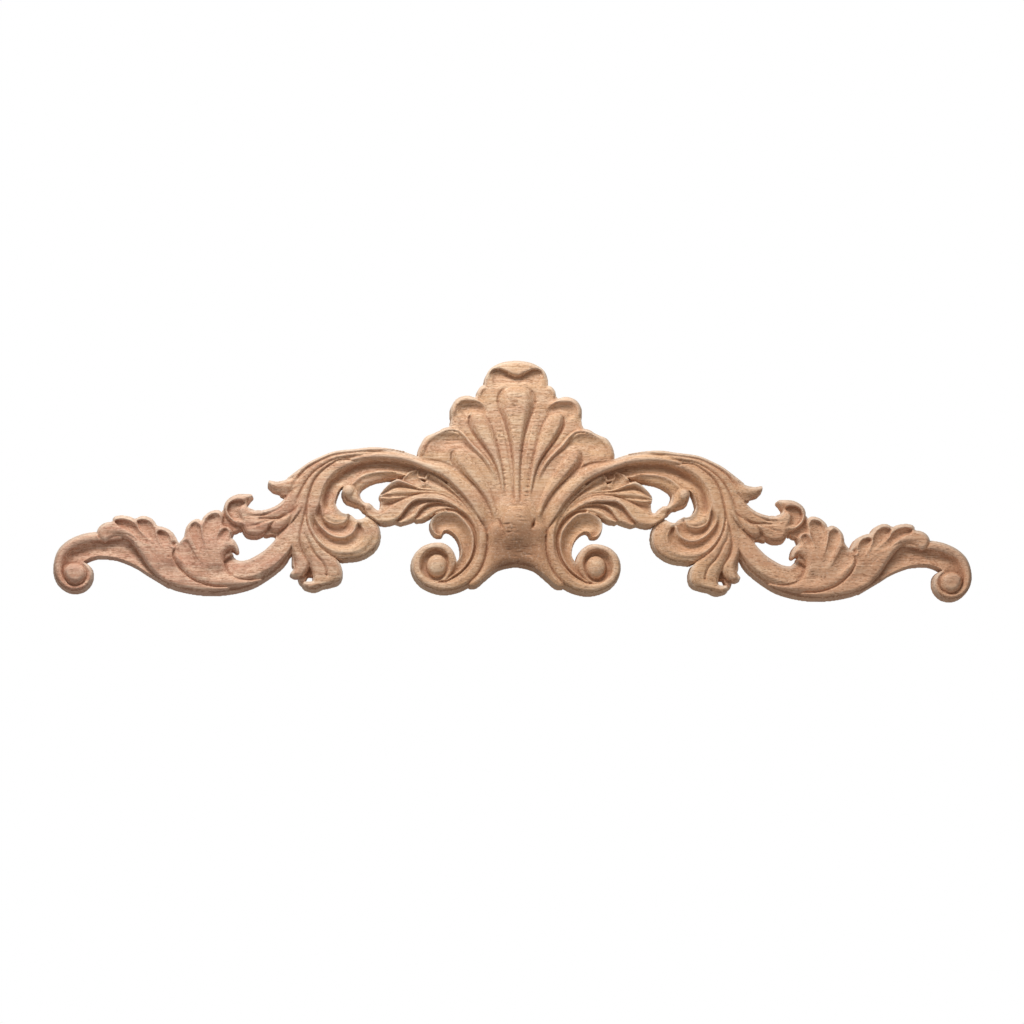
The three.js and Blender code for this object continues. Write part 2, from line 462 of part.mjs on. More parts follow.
// Curl ball
dome([-73.3, -6.2], 2.5, 2.8, 7.6, 2.6);

// Nested curls under the arch
// Outer curl
ribbon(
  [[-90.4, -13], [-90, -19], [-88.4, -24], [-85.6, -28], [-82, -30.8], [-77, -32.2], [-72, -32],
   [-68.6, -30.4], [-66, -27.3], [-65.8, -24.2], [-66.9, -21.7], [-68.4, -20.8], [-70.4, -19.2]],
  [[-91.6, -14], [-91.6, -19], [-89.6, -25], [-86.4, -30], [-82.7, -33.4], [-77, -36.2], [-73, -36],
   [-68.3, -35.3], [-63.6, -32.9], [-60.2, -28.8], [-59.6, -23.4], [-61.2, -19.4], [-65, -17.2],
   [-68.6, -18.3]],
  [[0, 0.8], [0.3, 1, 1], [0.75, 0.6, 1], [1, 0]], [7, 6.8, 6.2, 6], [2.2, 2.4, 2.4, 2]);
// Second curl
ribbon(
  [[-88, -13], [-87.6, -18], [-85.4, -21.6], [-82.1, -24.7], [-79.8, -26], [-77.5, -26.6],
   [-75.5, -26.6], [-73.5, -25.9], [-71.7, -24.7], [-70.4, -22.6], [-69.6, -20.4]],
  [[-90.4, -13], [-90, -19], [-88.4, -24], [-85.6, -28], [-82, -30.8], [-77, -32.2], [-72, -32],
   [-68.6, -30.4], [-66, -27.3], [-65.7, -24.2], [-67.4, -21]],
  CURL, [6.8, 6.2, 6], [1.6, 2.6, 2.8], [0.25, 0, 0, 0]);
// Inner curl
ribbon(
  [[-85.2, -11], [-84.6, -15], [-83.6, -18.4], [-82, -19.8], [-79.8, -20.5], [-77.5, -20.5],
   [-75.5, -19.9], [-73.9, -18]],
  [[-88, -13], [-87.6, -18], [-85.4, -21.6], [-82.1, -24.7], [-79.8, -26], [-77.5, -26.6],
   [-75.5, -26.6], [-73.5, -25.9], [-71.7, -24.7], [-70.4, -22.6], [-70, -20.4]],
  CURL, [6.8, 6, 5.8], [1.6, 2.8, 3], [0.25, 0, 0, 0]);
// Lip of the channel
ribbon(
  [[-85, -12], [-84.4, -15.6], [-83.4, -18.4], [-81.8, -19.7], [-79.8, -20.4], [-77.5, -20.4],
   [-75.5, -19.8], [-73.4, -17.4]],
  [[-79.2, -11], [-79, -12.6], [-78.2, -13.8], [-77.4, -14.8], [-76.6, -15.5], [-75.6, -16.1],
   [-74.4, -16.4], [-72.6, -16.5]],
  [[0, 0.7], [0.3, 1, 1], [0.7, 0.55, 1], [1, 0.8]], [6, 6.4], [2, 2.4, 2], [0.35, 0, 0, 0]);

// Acanthus leaf inside the arch
// Body of the leaf tip
plate(
  [[-44, -3.6], [-48, -1.6], [-52.2, -1.1], [-55, -2.5], [-57.4, -4.9], [-59.2, -7], [-59.5, -8.4],
   [-58.6, -9.4], [-58.9, -10.8], [-58.8, -12.6], [-60, -15.4], [-54, -15], [-46, -9], [-42, -6]],
  6, 7, 2.5);
// Body of the tall petal
plate(
  [[-49.4, -1.2], [-48.8, 0.2], [-47.8, 2.2], [-45.6, 3.4], [-43.4, 4], [-42.8, 2], [-42.5, 0.2],
   [-40.8, -1.2], [-38, -2.2], [-38, -5], [-45, -4.4]],
  6.4, 6.6, 2);
// Tall petal
ribbon(
  [[-49.2, -1.4], [-48.7, 0.4], [-47.7, 2.2], [-45.6, 3.4], [-43.4, 4]],
  [[-42, -4.6], [-39.6, -2.4], [-41.2, -1.1], [-42.6, 0.4], [-42.9, 3.4]],
  [[0, 1], [0.12, 0.5], [0.45, 0, 1], [0.85, 0.6], [1, 1]], [6.2, 5.8], [1.8, 2.4], [0.3, 0, 0, 0]);
// Second petal
ribbon(
  [[-38.4, -3.4], [-38.6, -1], [-39.7, 0.2], [-39.3, 1.8], [-37.7, 2.9]],
  [[-34.4, -4], [-35.4, -1.4], [-36.6, -0.2], [-36.8, 0.9], [-36.8, 1.9]],
  [[0, 1], [0.2, 0.4], [0.6, 0, 1], [1, 0.6]], [6.4], [1.6, 2.2], [0.3, 0, 0, 0]);
// Stem of the petals
ribbon(
  [[-37.4, 2.6], [-34, 0.5], [-31, -2], [-28, -4.9], [-25, -8], [-21.6, -12.2], [-18.8, -17],
   [-17.4, -22]],
  [[-40.6, -2.6], [-38, -4.4], [-34, -5.8], [-31, -6.8], [-27.4, -8.8], [-23.6, -12.2], [-20.6, -16.6],
   [-18.2, -22.4]],
  [[0, 0.5], [0.12, 1], [0.4, 0.1, 1], [0.75, 0.7, 1], [1, 0.3]], [6, 6.2, 7, 8, 8.4],
  [1.8, 2, 1.9, 1.2, 0.6], [0, 0, 0, 0.1]);
// Upper leaf lobe
ribbon(
  [[-22.6, -12.8], [-27, -8.6], [-31.4, -6.3], [-36.5, -4.9], [-42.4, -4.2], [-45.6, -2.9],
   [-48.6, -1.7], [-52.2, -1], [-55, -2.4], [-57.4, -4.8], [-59.3, -7]],
  [[-22.6, -13.6], [-27, -9.8], [-31.4, -7.4], [-36, -6.5], [-40, -6.5], [-44.5, -7.2], [-49.5, -7.8],
   [-53, -8], [-55.6, -8.1], [-57.6, -8.2], [-59.5, -8.3]],
  [[0, 0.9], [0.1, 1], [0.34, 0, 1], [0.72, 0.8, 1], [1, 0.3]], [8, 7.2, 6.4, 6, 6],
  [0.6, 1, 1.8, 2.6, 2]);
// Bud of the leaf
ribbon(
  [[-46, -7.4], [-50, -7.9], [-54, -8.2], [-57, -8.3], [-59.4, -8.4]],
  [[-46, -7.8], [-50, -9], [-53, -9.9], [-56, -10.2], [-58.7, -9.6]],
  [[0, 0.3], [0.5, 1, 1], [1, 0.1]], [6.2], [0.6, 1.6, 1.6]);
// Hollow under the bud
ribbon(
  [[-47, -8.2], [-50, -9.2], [-53, -10.1], [-56, -10.4], [-58.8, -10.7]],
  [[-48, -8.8], [-51, -10.2], [-54, -11.8], [-56.8, -13.4], [-59.4, -15]],
  [[0, 0.5], [0.45, 0, 1], [1, 0.6]], [6, 5.8], [0.8, 1.6]);
// Lowest leaf lobe
ribbon(
  [[-20.6, -17.4], [-26, -13.2], [-31, -11.5], [-36, -11.1], [-39.4, -12.1], [-42, -14.4],
   [-44.4, -17.8]],
  [[-20.2, -18.6], [-25.4, -15], [-30, -13.6], [-34, -14.4], [-37, -15.9], [-40.4, -18], [-43.4, -18.5]],
  [[0, 0], [0.5, 0.4], [0.85, 1, 1], [1, 0.7]], [8, 7, 6, 5.6, 5.8], [0.4, 1.2, 2.2, 2.4, 2.2]);
// Third leaf lobe
ribbon(
  [[-22, -15], [-28, -11.4], [-33, -10.1], [-38, -9.7], [-42, -9.8], [-45, -10.6], [-47.6, -13.2],
   [-49.8, -16.2], [-52.9, -19]],
  [[-22, -16.4], [-27.3, -12.6], [-31, -11.4], [-36, -11], [-39.3, -12], [-41.8, -14.1], [-44, -17.4],
   [-46.4, -18.6], [-50.4, -19.8]],
  [[0, 0], [0.5, 0.4], [0.85, 1, 1], [1, 0.75]], [8, 7, 6, 5.6, 5.8], [0.4, 1.2, 2, 2.4, 2.2]);
// Middle leaf lobe
ribbon(
  [[-20.6, -16], [-24, -12.6], [-28, -9.8], [-32.5, -7.5], [-36, -6.7], [-40, -6.7], [-44, -7.4],
   [-48.2, -8.8], [-52.3, -10.6], [-55.7, -12.6], [-59, -15], [-61.6, -13.8], [-63.6, -11.8],
   [-65.8, -11.1]],
  [[-20.6, -17.4], [-24, -14.6], [-28, -12], [-32, -10.3], [-36, -9.7], [-40, -9.6], [-43.6, -9.9],
   [-46.4, -11.6], [-49, -15], [-51.6, -18.2], [-55.6, -19.8], [-60, -19.6], [-64, -17.2],
   [-66.2, -13.4]],
  [[0, 0.1], [0.16, 0.75], [0.55, 0.85, 1], [0.88, 1, 1], [1, 0.7]], [8.2, 7.4, 6.6, 6, 5.8],
  [0.6, 1.6, 2.4, 2.6, 2.2]);
// Curl at the tip of the leaf
swell([-64.6, -12.8], 2.4, 2.2, 1);
// Line under the sweeping band
vein(
  [[-48, 6.4], [-44, 5.2], [-40, 3.6], [-36, 1.8], [-33, 0.4], [-30, -1.7], [-27.5, -4.1], [-25, -6.7],
   [-22.5, -9.7], [-20.5, -12.3], [-19, -14.9], [-18, -17.4], [-17, -21]],
  1, [0.2, 0.8, 1, 0.9, 0.4]);

// Knot and legs
// Knot and legs
plate(
  [[0, -12.2], [-4, -12.6], [-5.8, -15], [-7.6, -18.6], [-12.3, -20.8], [-12.5, -27], [-13, -33.1],
   [-14.7, -38.9], [-16.8, -42.6], [-20.6, -47], [-18, -47.2], [-14.1, -44.1], [-9.1, -39.9],
   [-4, -37.2], [0, -36.8], [4, -37.2], [9.1, -39.9], [14.1, -44.1], [18, -47.2], [20.6, -47],
   [16.8, -42.6], [14.7, -38.9], [13, -33.1], [12.5, -27], [12.3, -20.8], [7.6, -18.6], [5.8, -15],
   [4, -12.6]],
  9, 10.2, 3);
// Crown of the knot
swell([0, -19.4], 13, 15, 4.03);
// Nose of the knot
swell([0, -17.6], 7.6, 6.6, 0.5);
// Left shoulder
swell([-10, -24.4], 4, 6.4, 0.8);
// Right shoulder
swell([10, -24.4], 4, 6.4, 0.8);
// Fall below the knot
swell([0, -38.6], 13, 13, -2.2);
// Stop cut beside the knot
vein([[-7.9, -18.4], [-7, -20.8], [-6.4, -22.8]], 0.9, [0.3, 1.9, 0.3]);

// C-scroll with its inner leaf and its volute
// Inner leaf of the scroll
ribbon(
  [[-33.4, -25.2], [-35, -25], [-36.5, -23.4], [-37.4, -20.6], [-36.4, -17.4], [-32.6, -14.9],
   [-27.7, -14.8], [-23.2, -18.1], [-19.8, -22.7], [-18.7, -28.8], [-19.8, -34.4], [-23.7, -40.3],
   [-28.3, -43.5], [-31.4, -45.6]],
  [[-32.6, -24.8], [-32, -23.3], [-30.5, -22.6], [-28.6, -23.2], [-27, -24.4], [-25.6, -26.2],
   [-24.5, -28.6], [-24.1, -31], [-24.2, -34.3], [-26, -37], [-28.4, -40.5], [-31, -45]],
  [[0, 1], [0.08, 0.85], [0.5, 0, 1], [1, 0.55]], [5.6, 5.2, 5.6, 6.2, 6.6], [3, 3.4, 3.4, 2.6, 1.4]);
// Groove beside the scroll
ribbon(
  [[-31, -12.9], [-26, -13.6], [-22.4, -15.6], [-19.4, -19], [-17.2, -24.5], [-17, -28.8],
   [-17.8, -33.1], [-19.6, -37.2], [-22.8, -41], [-26, -43.7], [-31, -46.2]],
  [[-30.5, -14.6], [-26.6, -15.2], [-23.2, -18.1], [-19.8, -22.7], [-18.7, -27.9], [-19, -31.4],
   [-20.6, -36], [-23.7, -40.3], [-26, -42.1], [-28.3, -43.6], [-31.4, -45.6]],
  [[0, 0.9], [0.5, 0, 1], [1, 1]], [6.4, 6.6, 6.6, 6.4, 6], [1.6, 2, 2]);
// Scroll and its volute
ribbon(
  [[-21, -13], [-18.6, -18], [-17.2, -22.6], [-16.8, -27], [-17.3, -32.6], [-19.5, -37.8], [-23, -42.2],
   [-27, -44.9], [-32.4, -46.3], [-37.6, -45.2], [-41, -42], [-41.7, -38], [-40.9, -34.9],
   [-39.1, -32.6], [-36.4, -31.4], [-33, -31.7], [-30.8, -33.4], [-29.6, -36], [-29.4, -38.6],
   [-30.4, -42.4], [-32.2, -45.2]],
  [[-19.6, -12.4], [-16.2, -18], [-13.4, -22.6], [-12.6, -27], [-13.1, -33.1], [-14.8, -38.9],
   [-18.3, -44.3], [-23.5, -48.2], [-32.5, -50], [-41.2, -46.7], [-45, -41.2], [-45.2, -36.8],
   [-43.8, -33.1], [-40.8, -30.3], [-36.7, -28.8], [-31.9, -28.8], [-28.6, -31], [-26.7, -34.6],
   [-26.2, -37], [-28, -41.5], [-31.4, -45.4]],
  [[0, 0.2], [0.3, 1, 1], [0.65, 0.95, 1], [1, 0.1]], [7.8, 7.6, 7.4, 7.2, 7, 6.8, 6.8, 6.8, 6.6],
  [0.8, 2.2, 2.2, 2, 2, 2, 2, 1.8, 1], [0.08, 0, 0, 0], 97);
// Floor of the volute
plate(
  [[-41.6, -41], [-41.6, -37.6], [-40, -33.6], [-36.7, -31.4], [-33.6, -31.4], [-30.4, -33.6],
   [-29.5, -37], [-30.4, -42], [-33, -45.4], [-38, -44.9]],
  7.4, 5.8, 1.6);
// Bead of the volute
dome([-34.6, -38.7], 4.5, 5.1, 6.2, 3.6);

// Spur and hook leaf
// Spur
ribbon(
  [[-93, 2], [-94.6, 2.8], [-98, -0.2], [-102, -2], [-105, -2.3], [-108, -1.8]],
  [[-96, -4], [-98, -6.4], [-100.2, -7.9], [-103, -6.6], [-106, -5.6], [-107.8, -3.8]],
  [[0, 0.1], [0.45, 1, 1], [1, 0.2]], [7.6, 7.4, 7], [1.6, 1.8, 1.4], [0.35, 0, 0, 0]);
// Curl of the hook leaf
plate(
  [[-111, -15.3], [-114.6, -15.1], [-116.8, -13.8], [-117.6, -12.4], [-116.6, -10.4], [-115, -8.3],
   [-117.6, -7.9], [-121.4, -8.1], [-124.6, -9.6], [-126.7, -12.2], [-127, -15.4], [-125.6, -18.6],
   [-122, -21.4], [-119.4, -22.4], [-118.2, -24.5], [-117, -25.8], [-113.2, -26.3], [-110, -24.8],
   [-108, -21]],
  6.8, 8.8, 2.2);
// Lower part of the hook leaf
ribbon(
  [[-94, -12], [-99, -16.4], [-103, -18.2], [-108, -18.6], [-113, -18.4], [-117, -18]],
  [[-97, -18], [-101.4, -22.5], [-104, -24], [-106.2, -23.5], [-107.5, -22.4], [-109.5, -24.6],
   [-113.2, -26.3], [-117, -25.8]],
  [[0, 0.3], [0.35, 1, 1], [0.8, 0.7, 1], [1, 0]], [7.4, 7, 6.6, 6.6], [1.2, 1.8, 2.2, 2.2],
  [0.35, 0.3, 0, 0]);
// Upper part of the hook leaf
ribbon(
  [[-93, -3], [-97.4, -5.6], [-101, -10], [-104.6, -13], [-109, -14.8], [-113, -15.3], [-116.4, -14]],
  [[-93, -11], [-97.6, -15.4], [-101, -17.4], [-104.4, -18.6], [-109, -18.8], [-113, -18.6],
   [-117, -18.4]],
  [[0, 0.2], [0.3, 1, 1], [0.8, 0.7, 1], [1, 0]], [7.4, 7.2, 6.8, 6.6], [1.6, 1.8, 2, 2.2],
  [0.3, 0.35, 0, 0]);
// Hollow of the curl
ribbon(
  [[-119.6, -21.6], [-123.4, -19], [-125.6, -15.8], [-125.3, -13], [-123.4, -11.2], [-120.6, -10.6],
   [-118.4, -11.2]],
  [[-116.6, -20.8], [-118, -18.6], [-119, -16.8], [-119.4, -15.4], [-118.8, -14.4], [-118, -13.6],
   [-117.8, -12.6]],
  [[0, 0], [0.3, 0.1, 1], [1, 1]], [7.6, 6.6, 5.8, 5.8, 6.6], [1.2, 2.2, 2.8, 2.8, 1.8],
  [0.3, 0, 0, 0.35]);
// Upper vein of the hook leaf
vein(
  [[-119, -17.6], [-114, -17.6], [-109, -16.8], [-103, -14], [-98.4, -9.6]],
  0.8, [0.1, 0.8, 0.8, 0.6, 0.2]);
// Middle vein of the hook leaf
vein([[-117.4, -22.6], [-113, -21.6], [-109.6, -20.1], [-104, -18.4]], 0.8, [0.1, 0.8, 0.8, 0.2]);
// Lower vein of the hook leaf
vein([[-107.4, -22.6], [-106, -20.6], [-103.4, -18.8], [-100, -15.6]], 0.8, [1, 0.9, 0.6, 0.2]);

// Stem, and the long slope under it
// Slope under the stem
ribbon(
  [[-96, -27], [-99.5, -33], [-106, -39.6], [-114, -43.6], [-121.5, -44.2], [-128, -45.4], [-136, -46]],
  [[-97.6, -31], [-100.2, -37], [-104, -41], [-113, -47.3], [-120, -49.8], [-130, -51.3], [-140, -50.8]],
  [[0, 1], [0.3, 0.7], [1, 0]], [5.8, 6], [3.2, 3.2, 2]);
// Stem
ribbon(
  [[-92, -12], [-95.6, -17], [-99.5, -22], [-103.5, -26.5], [-109, -32.3], [-113, -35], [-117, -36.9],
   [-120.4, -36.8], [-123.4, -34.4]],
  [[-92, -24], [-95.6, -27.6], [-99.6, -33.4], [-106, -39.6], [-110, -42.2], [-114, -43.9],
   [-119, -44.7], [-124, -43], [-126.6, -37]],
  [[0, 0.1], [0.22, 0.55, 1], [0.75, 0.9], [1, 1]], [6.8, 6.7, 6.5, 6.2, 6, 5.6, 3.6],
  [1.6, 2, 2.4, 2.8, 2.8, 2.4, 0.6], [0.25, 0, 0, 0]);

// Scroll at the end
// Tail band
ribbon(
  [[-150, -46], [-154.6, -42], [-159, -38], [-163, -33], [-168, -28], [-173, -26.6], [-180, -28],
   [-186, -30], [-190, -31.3], [-194, -33.6], [-196.3, -37], [-197.4, -41]],
  [[-150.4, -48.4], [-156, -45], [-160, -42.6], [-164, -40], [-170, -37.3], [-176, -35.6], [-181, -35.6],
   [-185, -36.8], [-187.5, -38.3], [-189, -40], [-190, -41], [-191, -42]],
  [[0, 1], [0.1, 0.5], [0.4, 0, 1], [1, 0.5]], [6.4, 5.6, 5.2, 5, 5], [0.6, 2, 3, 3.4]);
// Rim of the tail
ribbon(
  [[-170, -25.6], [-176.6, -25.4], [-181.5, -25.3], [-186, -25.8], [-190.5, -27.2], [-194.5, -29.4],
   [-198, -33], [-199.8, -38], [-199.9, -43], [-198.3, -47], [-195, -50], [-191, -51.1], [-187, -50],
   [-184.4, -47], [-183.6, -43.6], [-184.6, -40.4], [-187.4, -38.4]],
  [[-171, -28.2], [-177, -29.1], [-181.5, -29.2], [-186, -29.9], [-190, -31.2], [-193.5, -33.3],
   [-196, -36.5], [-197.1, -41], [-196.8, -44.5], [-195.2, -47.2], [-192.6, -48.9], [-189.8, -49.3],
   [-187, -48.2], [-185.4, -46], [-185, -43.4], [-185.8, -41], [-188, -39.4]],
  [[0, 0], [0.55, 1, 1], [1, 0.75]], [6.2, 6.2, 6, 5.8, 5.8], [1.4, 2.6, 2.6, 2, 1.2]);
// Knob of the tail
plate(
  [[-196, -41.6], [-195.8, -45.2], [-193.8, -47.9], [-190.6, -49], [-187.6, -47.8], [-185.8, -45.2],
   [-185.6, -42.2], [-187.4, -39.8], [-190.4, -38.8], [-193.8, -39.4]],
  6, 9.6, 3);

// Small wave leaf, then the large one over it
// Blade of the small wave leaf
plate(
  [[-124, -49.6], [-134, -51.2], [-142, -50.4], [-149, -48.6], [-154.6, -45.4], [-159, -41],
   [-163, -35.2], [-165.5, -31.8], [-168, -29], [-170.5, -27.4], [-173, -27], [-175.6, -28],
   [-177.8, -29.9], [-180, -29], [-181.6, -26.4], [-181.2, -23.8], [-178.4, -21.4], [-175.2, -20.8],
   [-174.8, -19], [-172, -18.1], [-167, -18.8], [-165.6, -19.6], [-162.3, -18.1], [-158, -19.6],
   [-156, -22.4], [-153, -23.1], [-149.6, -25], [-147.4, -28.6], [-146, -31], [-142, -40], [-130, -46]],
  7.4, 9, 2);
// Small wave leaf lobe a
ribbon(
  [[-151, -42], [-157, -35.4], [-162, -31], [-166, -28.2], [-171, -26.4], [-175.6, -26.8], [-179, -27.8]],
  [[-150, -38], [-157, -33], [-163, -29.6], [-166.3, -26.2], [-170.3, -23.8], [-174.6, -22.6],
   [-179.6, -23.6]],
  [[0, 0.2], [0.5, 1, 1], [1, 0.8]], [8, 7.6, 7.6], [0.6, 1.5, 1.5], [0.4, 0.15, 0.15, 0]);
// Small wave leaf lobe b
ribbon(
  [[-150, -39], [-158, -31.6], [-163.2, -29.2], [-166.4, -26.2], [-170.3, -23.8], [-173.4, -22.5],
   [-174.2, -21]],
  [[-150, -38], [-158, -28.6], [-163, -25.3], [-164.7, -22.8], [-167, -20.9], [-170.6, -19.8],
   [-173.2, -20]],
  HOLLOW, [8.8, 8.2, 7.2, 6.7], [0.2, 0.8, 1.5, 1.8], [0.8, 0, 0, 0]);
// Small wave leaf lobe c
ribbon(
  [[-150, -38], [-158, -29.4], [-162.6, -25.4], [-164.4, -22.6], [-164.6, -20.6]],
  [[-149, -38], [-154, -31], [-156.4, -26.4], [-157, -23.6], [-158.6, -21.3], [-161.6, -19.8],
   [-164, -20]],
  HOLLOW, [8.8, 8.2, 7.2, 6.7], [0.2, 0.8, 1.5, 1.8], [0.8, 0, 0, 0]);
// Small wave leaf lobe d
ribbon(
  [[-149, -38], [-153.6, -31.4], [-155.6, -27.4], [-155.9, -25.6], [-155, -24.7]],
  [[-148.4, -37], [-149.4, -32.6], [-150, -28.6], [-151.6, -25.6], [-154, -24.5]],
  HOLLOW, [8.8, 8.2, 7.3, 6.8], [0.2, 0.8, 1.4, 1.7], [0.8, 0, 0, 0]);
// Blade of the large wave leaf
plate(
  [[-116, -45.6], [-110, -45.4], [-116, -48], [-122, -49.3], [-127, -49.2], [-131, -49.2], [-135, -48.4],
   [-141, -45.8], [-145.6, -41.8], [-148.4, -37.6], [-149.1, -34.6], [-147.6, -31.6], [-146, -29.5],
   [-143.9, -26.7], [-143.5, -23.6], [-141.6, -20.6], [-138.2, -19.1], [-136.8, -20.2], [-136, -18.4],
   [-133.4, -16.1], [-129.6, -15.2], [-127.4, -17.4], [-127.8, -21.6], [-125, -22.5], [-123.4, -24.2],
   [-124.3, -27.2], [-122.6, -28.4], [-121.3, -31], [-121.1, -33.6], [-122.6, -32.2], [-125, -32.8],
   [-126.8, -35.2], [-126.6, -39.4], [-124.4, -42.8], [-121, -44.8]],
  7.2, 9, 2.4);
// Large wave leaf lobe e
ribbon(
  [[-131, -46], [-140, -42], [-145, -37.6], [-147.8, -34], [-146.6, -30.8]],
  [[-131, -43], [-137.4, -37.6], [-141, -32], [-142.8, -28.8], [-145, -28.8]],
  HOLLOW, [8.8, 8.2, 7.5, 7.2], [0.2, 0.6, 1.1, 1.2], [0.8, 0, 0, 0]);
// Large wave leaf lobe f
ribbon(
  [[-131, -43], [-137.6, -34.6], [-140.8, -28], [-142.2, -24.6], [-141.6, -21.9]],
  [[-129.6, -41], [-134.8, -32], [-136.6, -26], [-137.4, -22.4], [-139.6, -20.5]],
  HOLLOW, [8.8, 8.2, 7.2, 6.7], [0.2, 0.7, 1.4, 1.8], [0.8, 0, 0, 0]);
// Large wave leaf lobe g
ribbon(
  [[-131, -38.6], [-134.8, -31.6], [-136.2, -25.6], [-135.8, -20.8], [-133.8, -17.9]],
  [[-129.4, -37.4], [-130.4, -30], [-129.2, -24], [-128.4, -19.2], [-129.8, -17], [-132, -16.9]],
  HOLLOW, [8.8, 8.1, 6.9, 6.5], [0.2, 0.8, 1.6, 2], [0.8, 0, 0, 0]);
// Large wave leaf lobe h
ribbon(
  [[-130.4, -34.6], [-130.4, -30.6], [-129.6, -26.6], [-127.2, -23.3]],
  [[-128.8, -33.4], [-126.8, -29.8], [-125.3, -27], [-124.8, -24.6], [-126, -23.2]],
  HOLLOW, [8.8, 8.2, 7.3, 6.9], [0.2, 0.6, 1.2, 1.7], [0.7, 0, 0, 0]);
// Valley of the large leaf
swell([-129, -42.6], 8, 4.4, -1.4);
// Valley of the small leaf
swell([-150, -42], 8, 5, -1);
// Eye between the leaves
swell([-148.4, -30.4], 1.7, 1.7, -1.6);
// Ridge round the eye
vein([[-149.4, -31.8], [-148.2, -32.5], [-146.8, -31.8]], 0.7, [-0.5]);

// Openings sawn right through
// Opening between the stem and the leaves
pierce(
  [[-121.5, -23.6], [-120, -23.2], [-119, -25], [-117.5, -27.2], [-113, -27.6], [-109, -26.2],
   [-106, -25.2], [-104.3, -26], [-105, -28], [-108, -31], [-113, -35], [-118, -37], [-121, -36.9],
   [-123.5, -34.4], [-121, -34.8], [-119.6, -33], [-120, -30], [-121.5, -27.5]],
  );
// Opening beside the curl ball
pierce(
  [[-76.9, -8.4], [-78.1, -9.6], [-78.3, -11.7], [-78, -13.5], [-76.9, -15.1], [-75.4, -16.1],
   [-72.3, -16.4], [-71.3, -17], [-70.5, -18], [-69.2, -18.7], [-67.2, -18.4], [-65.9, -17.5],
   [-65.6, -16.2], [-66.2, -14.9], [-67.2, -13.4], [-68.7, -12.1], [-72.8, -11.8], [-74.4, -11.2],
   [-75.8, -10]],
  );
// Opening before the leaf
pierce(
  [[-54.6, 0.2], [-59.3, -0.4], [-61.9, -1], [-64.5, -2.1], [-66.5, -3.5], [-68, -5], [-68.5, -6.6],
   [-68.3, -8.4], [-67.4, -10], [-66.3, -11.1], [-65, -10.8], [-63.7, -11.3], [-62.4, -12.6],
   [-61.1, -13.5], [-60.1, -13.4], [-59.6, -12.1], [-58.9, -10.5], [-59, -9.4], [-59.6, -8.2],
   [-59.3, -7.1], [-58.3, -5.6], [-56.5, -3.7], [-54.7, -2.1], [-53.2, -1.1], [-53, -0.4]],
  );
// Opening in the fan
pierce(
  [[-89.5, -42.8], [-89, -44.5], [-88.8, -46], [-91.1, -46.1], [-92.1, -45.7], [-91.8, -44.6],
   [-90.8, -43.4]],
  );


// The tool leaves no dead sharp arris: a short bell-shaped average over the samples
function soften(values, spread) {
  const reach = Math.ceil(3 * spread);
  const bell = (_, i) => Math.exp(-0.5 * ((i - reach) / spread) ** 2);
  const weights = Array.from({ length: 2 * reach + 1 }, bell);
  const total = weights.reduce((sum, w) => sum + w, 0);
  const pass = (from, step, count, index) => {
    const to = new Float64Array(from.length);
    for (let cell = 0; cell < from.length; cell++) {
      const at = index(cell);
      for (let k = -reach; k <= reach; k++) {
        const clamped = THREE.MathUtils.clamp(at + k, 0, count - 1);
        to[cell] += weights[k + reach] / total * from[cell + (clamped - at) * step];
      }
    }
    return to;
  };
  const acrossX = pass(values, 1, field.columns - 1, (cell) => cell % field.columns);
  return pass(acrossX, field.columns, field.rows, (cell) => Math.floor(cell / field.columns));
}

const spread = SOFTNESS / GRID;
const cover = soften(field.height.map((h) => (h > 0 ? 1 : 0)), spread);
const softened = soften(field.height, spread).map((h, cell) => h / Math.max(cover[cell], 1e-3));
for (let cell = field.columns - 1; cell < cover.length; cell += field.columns) cover[cell] = 0;

function read(values, x, z) {
  const gx = THREE.MathUtils.clamp((x - field.x0) / GRID, 0, field.columns - 2.001);
  const gz = THREE.MathUtils.clamp((z - field.z0) / GRID, 0, field.rows - 1.001);
  const [i, j] = [Math.floor(gx), Math.floor(gz)];
  const [s, t] = [gx - i, gz - j];
  const cell = j * field.columns + i;
  const low = values[cell] * (1 - s) + values[cell + 1] * s;
  const high = values[cell + field.columns] * (1 - s) + values[cell + field.columns + 1] * s;
  return low * (1 - t) + high * t;
}
const heightAt = (x, z) => read(softened, Math.min(x, -1e-6), z);

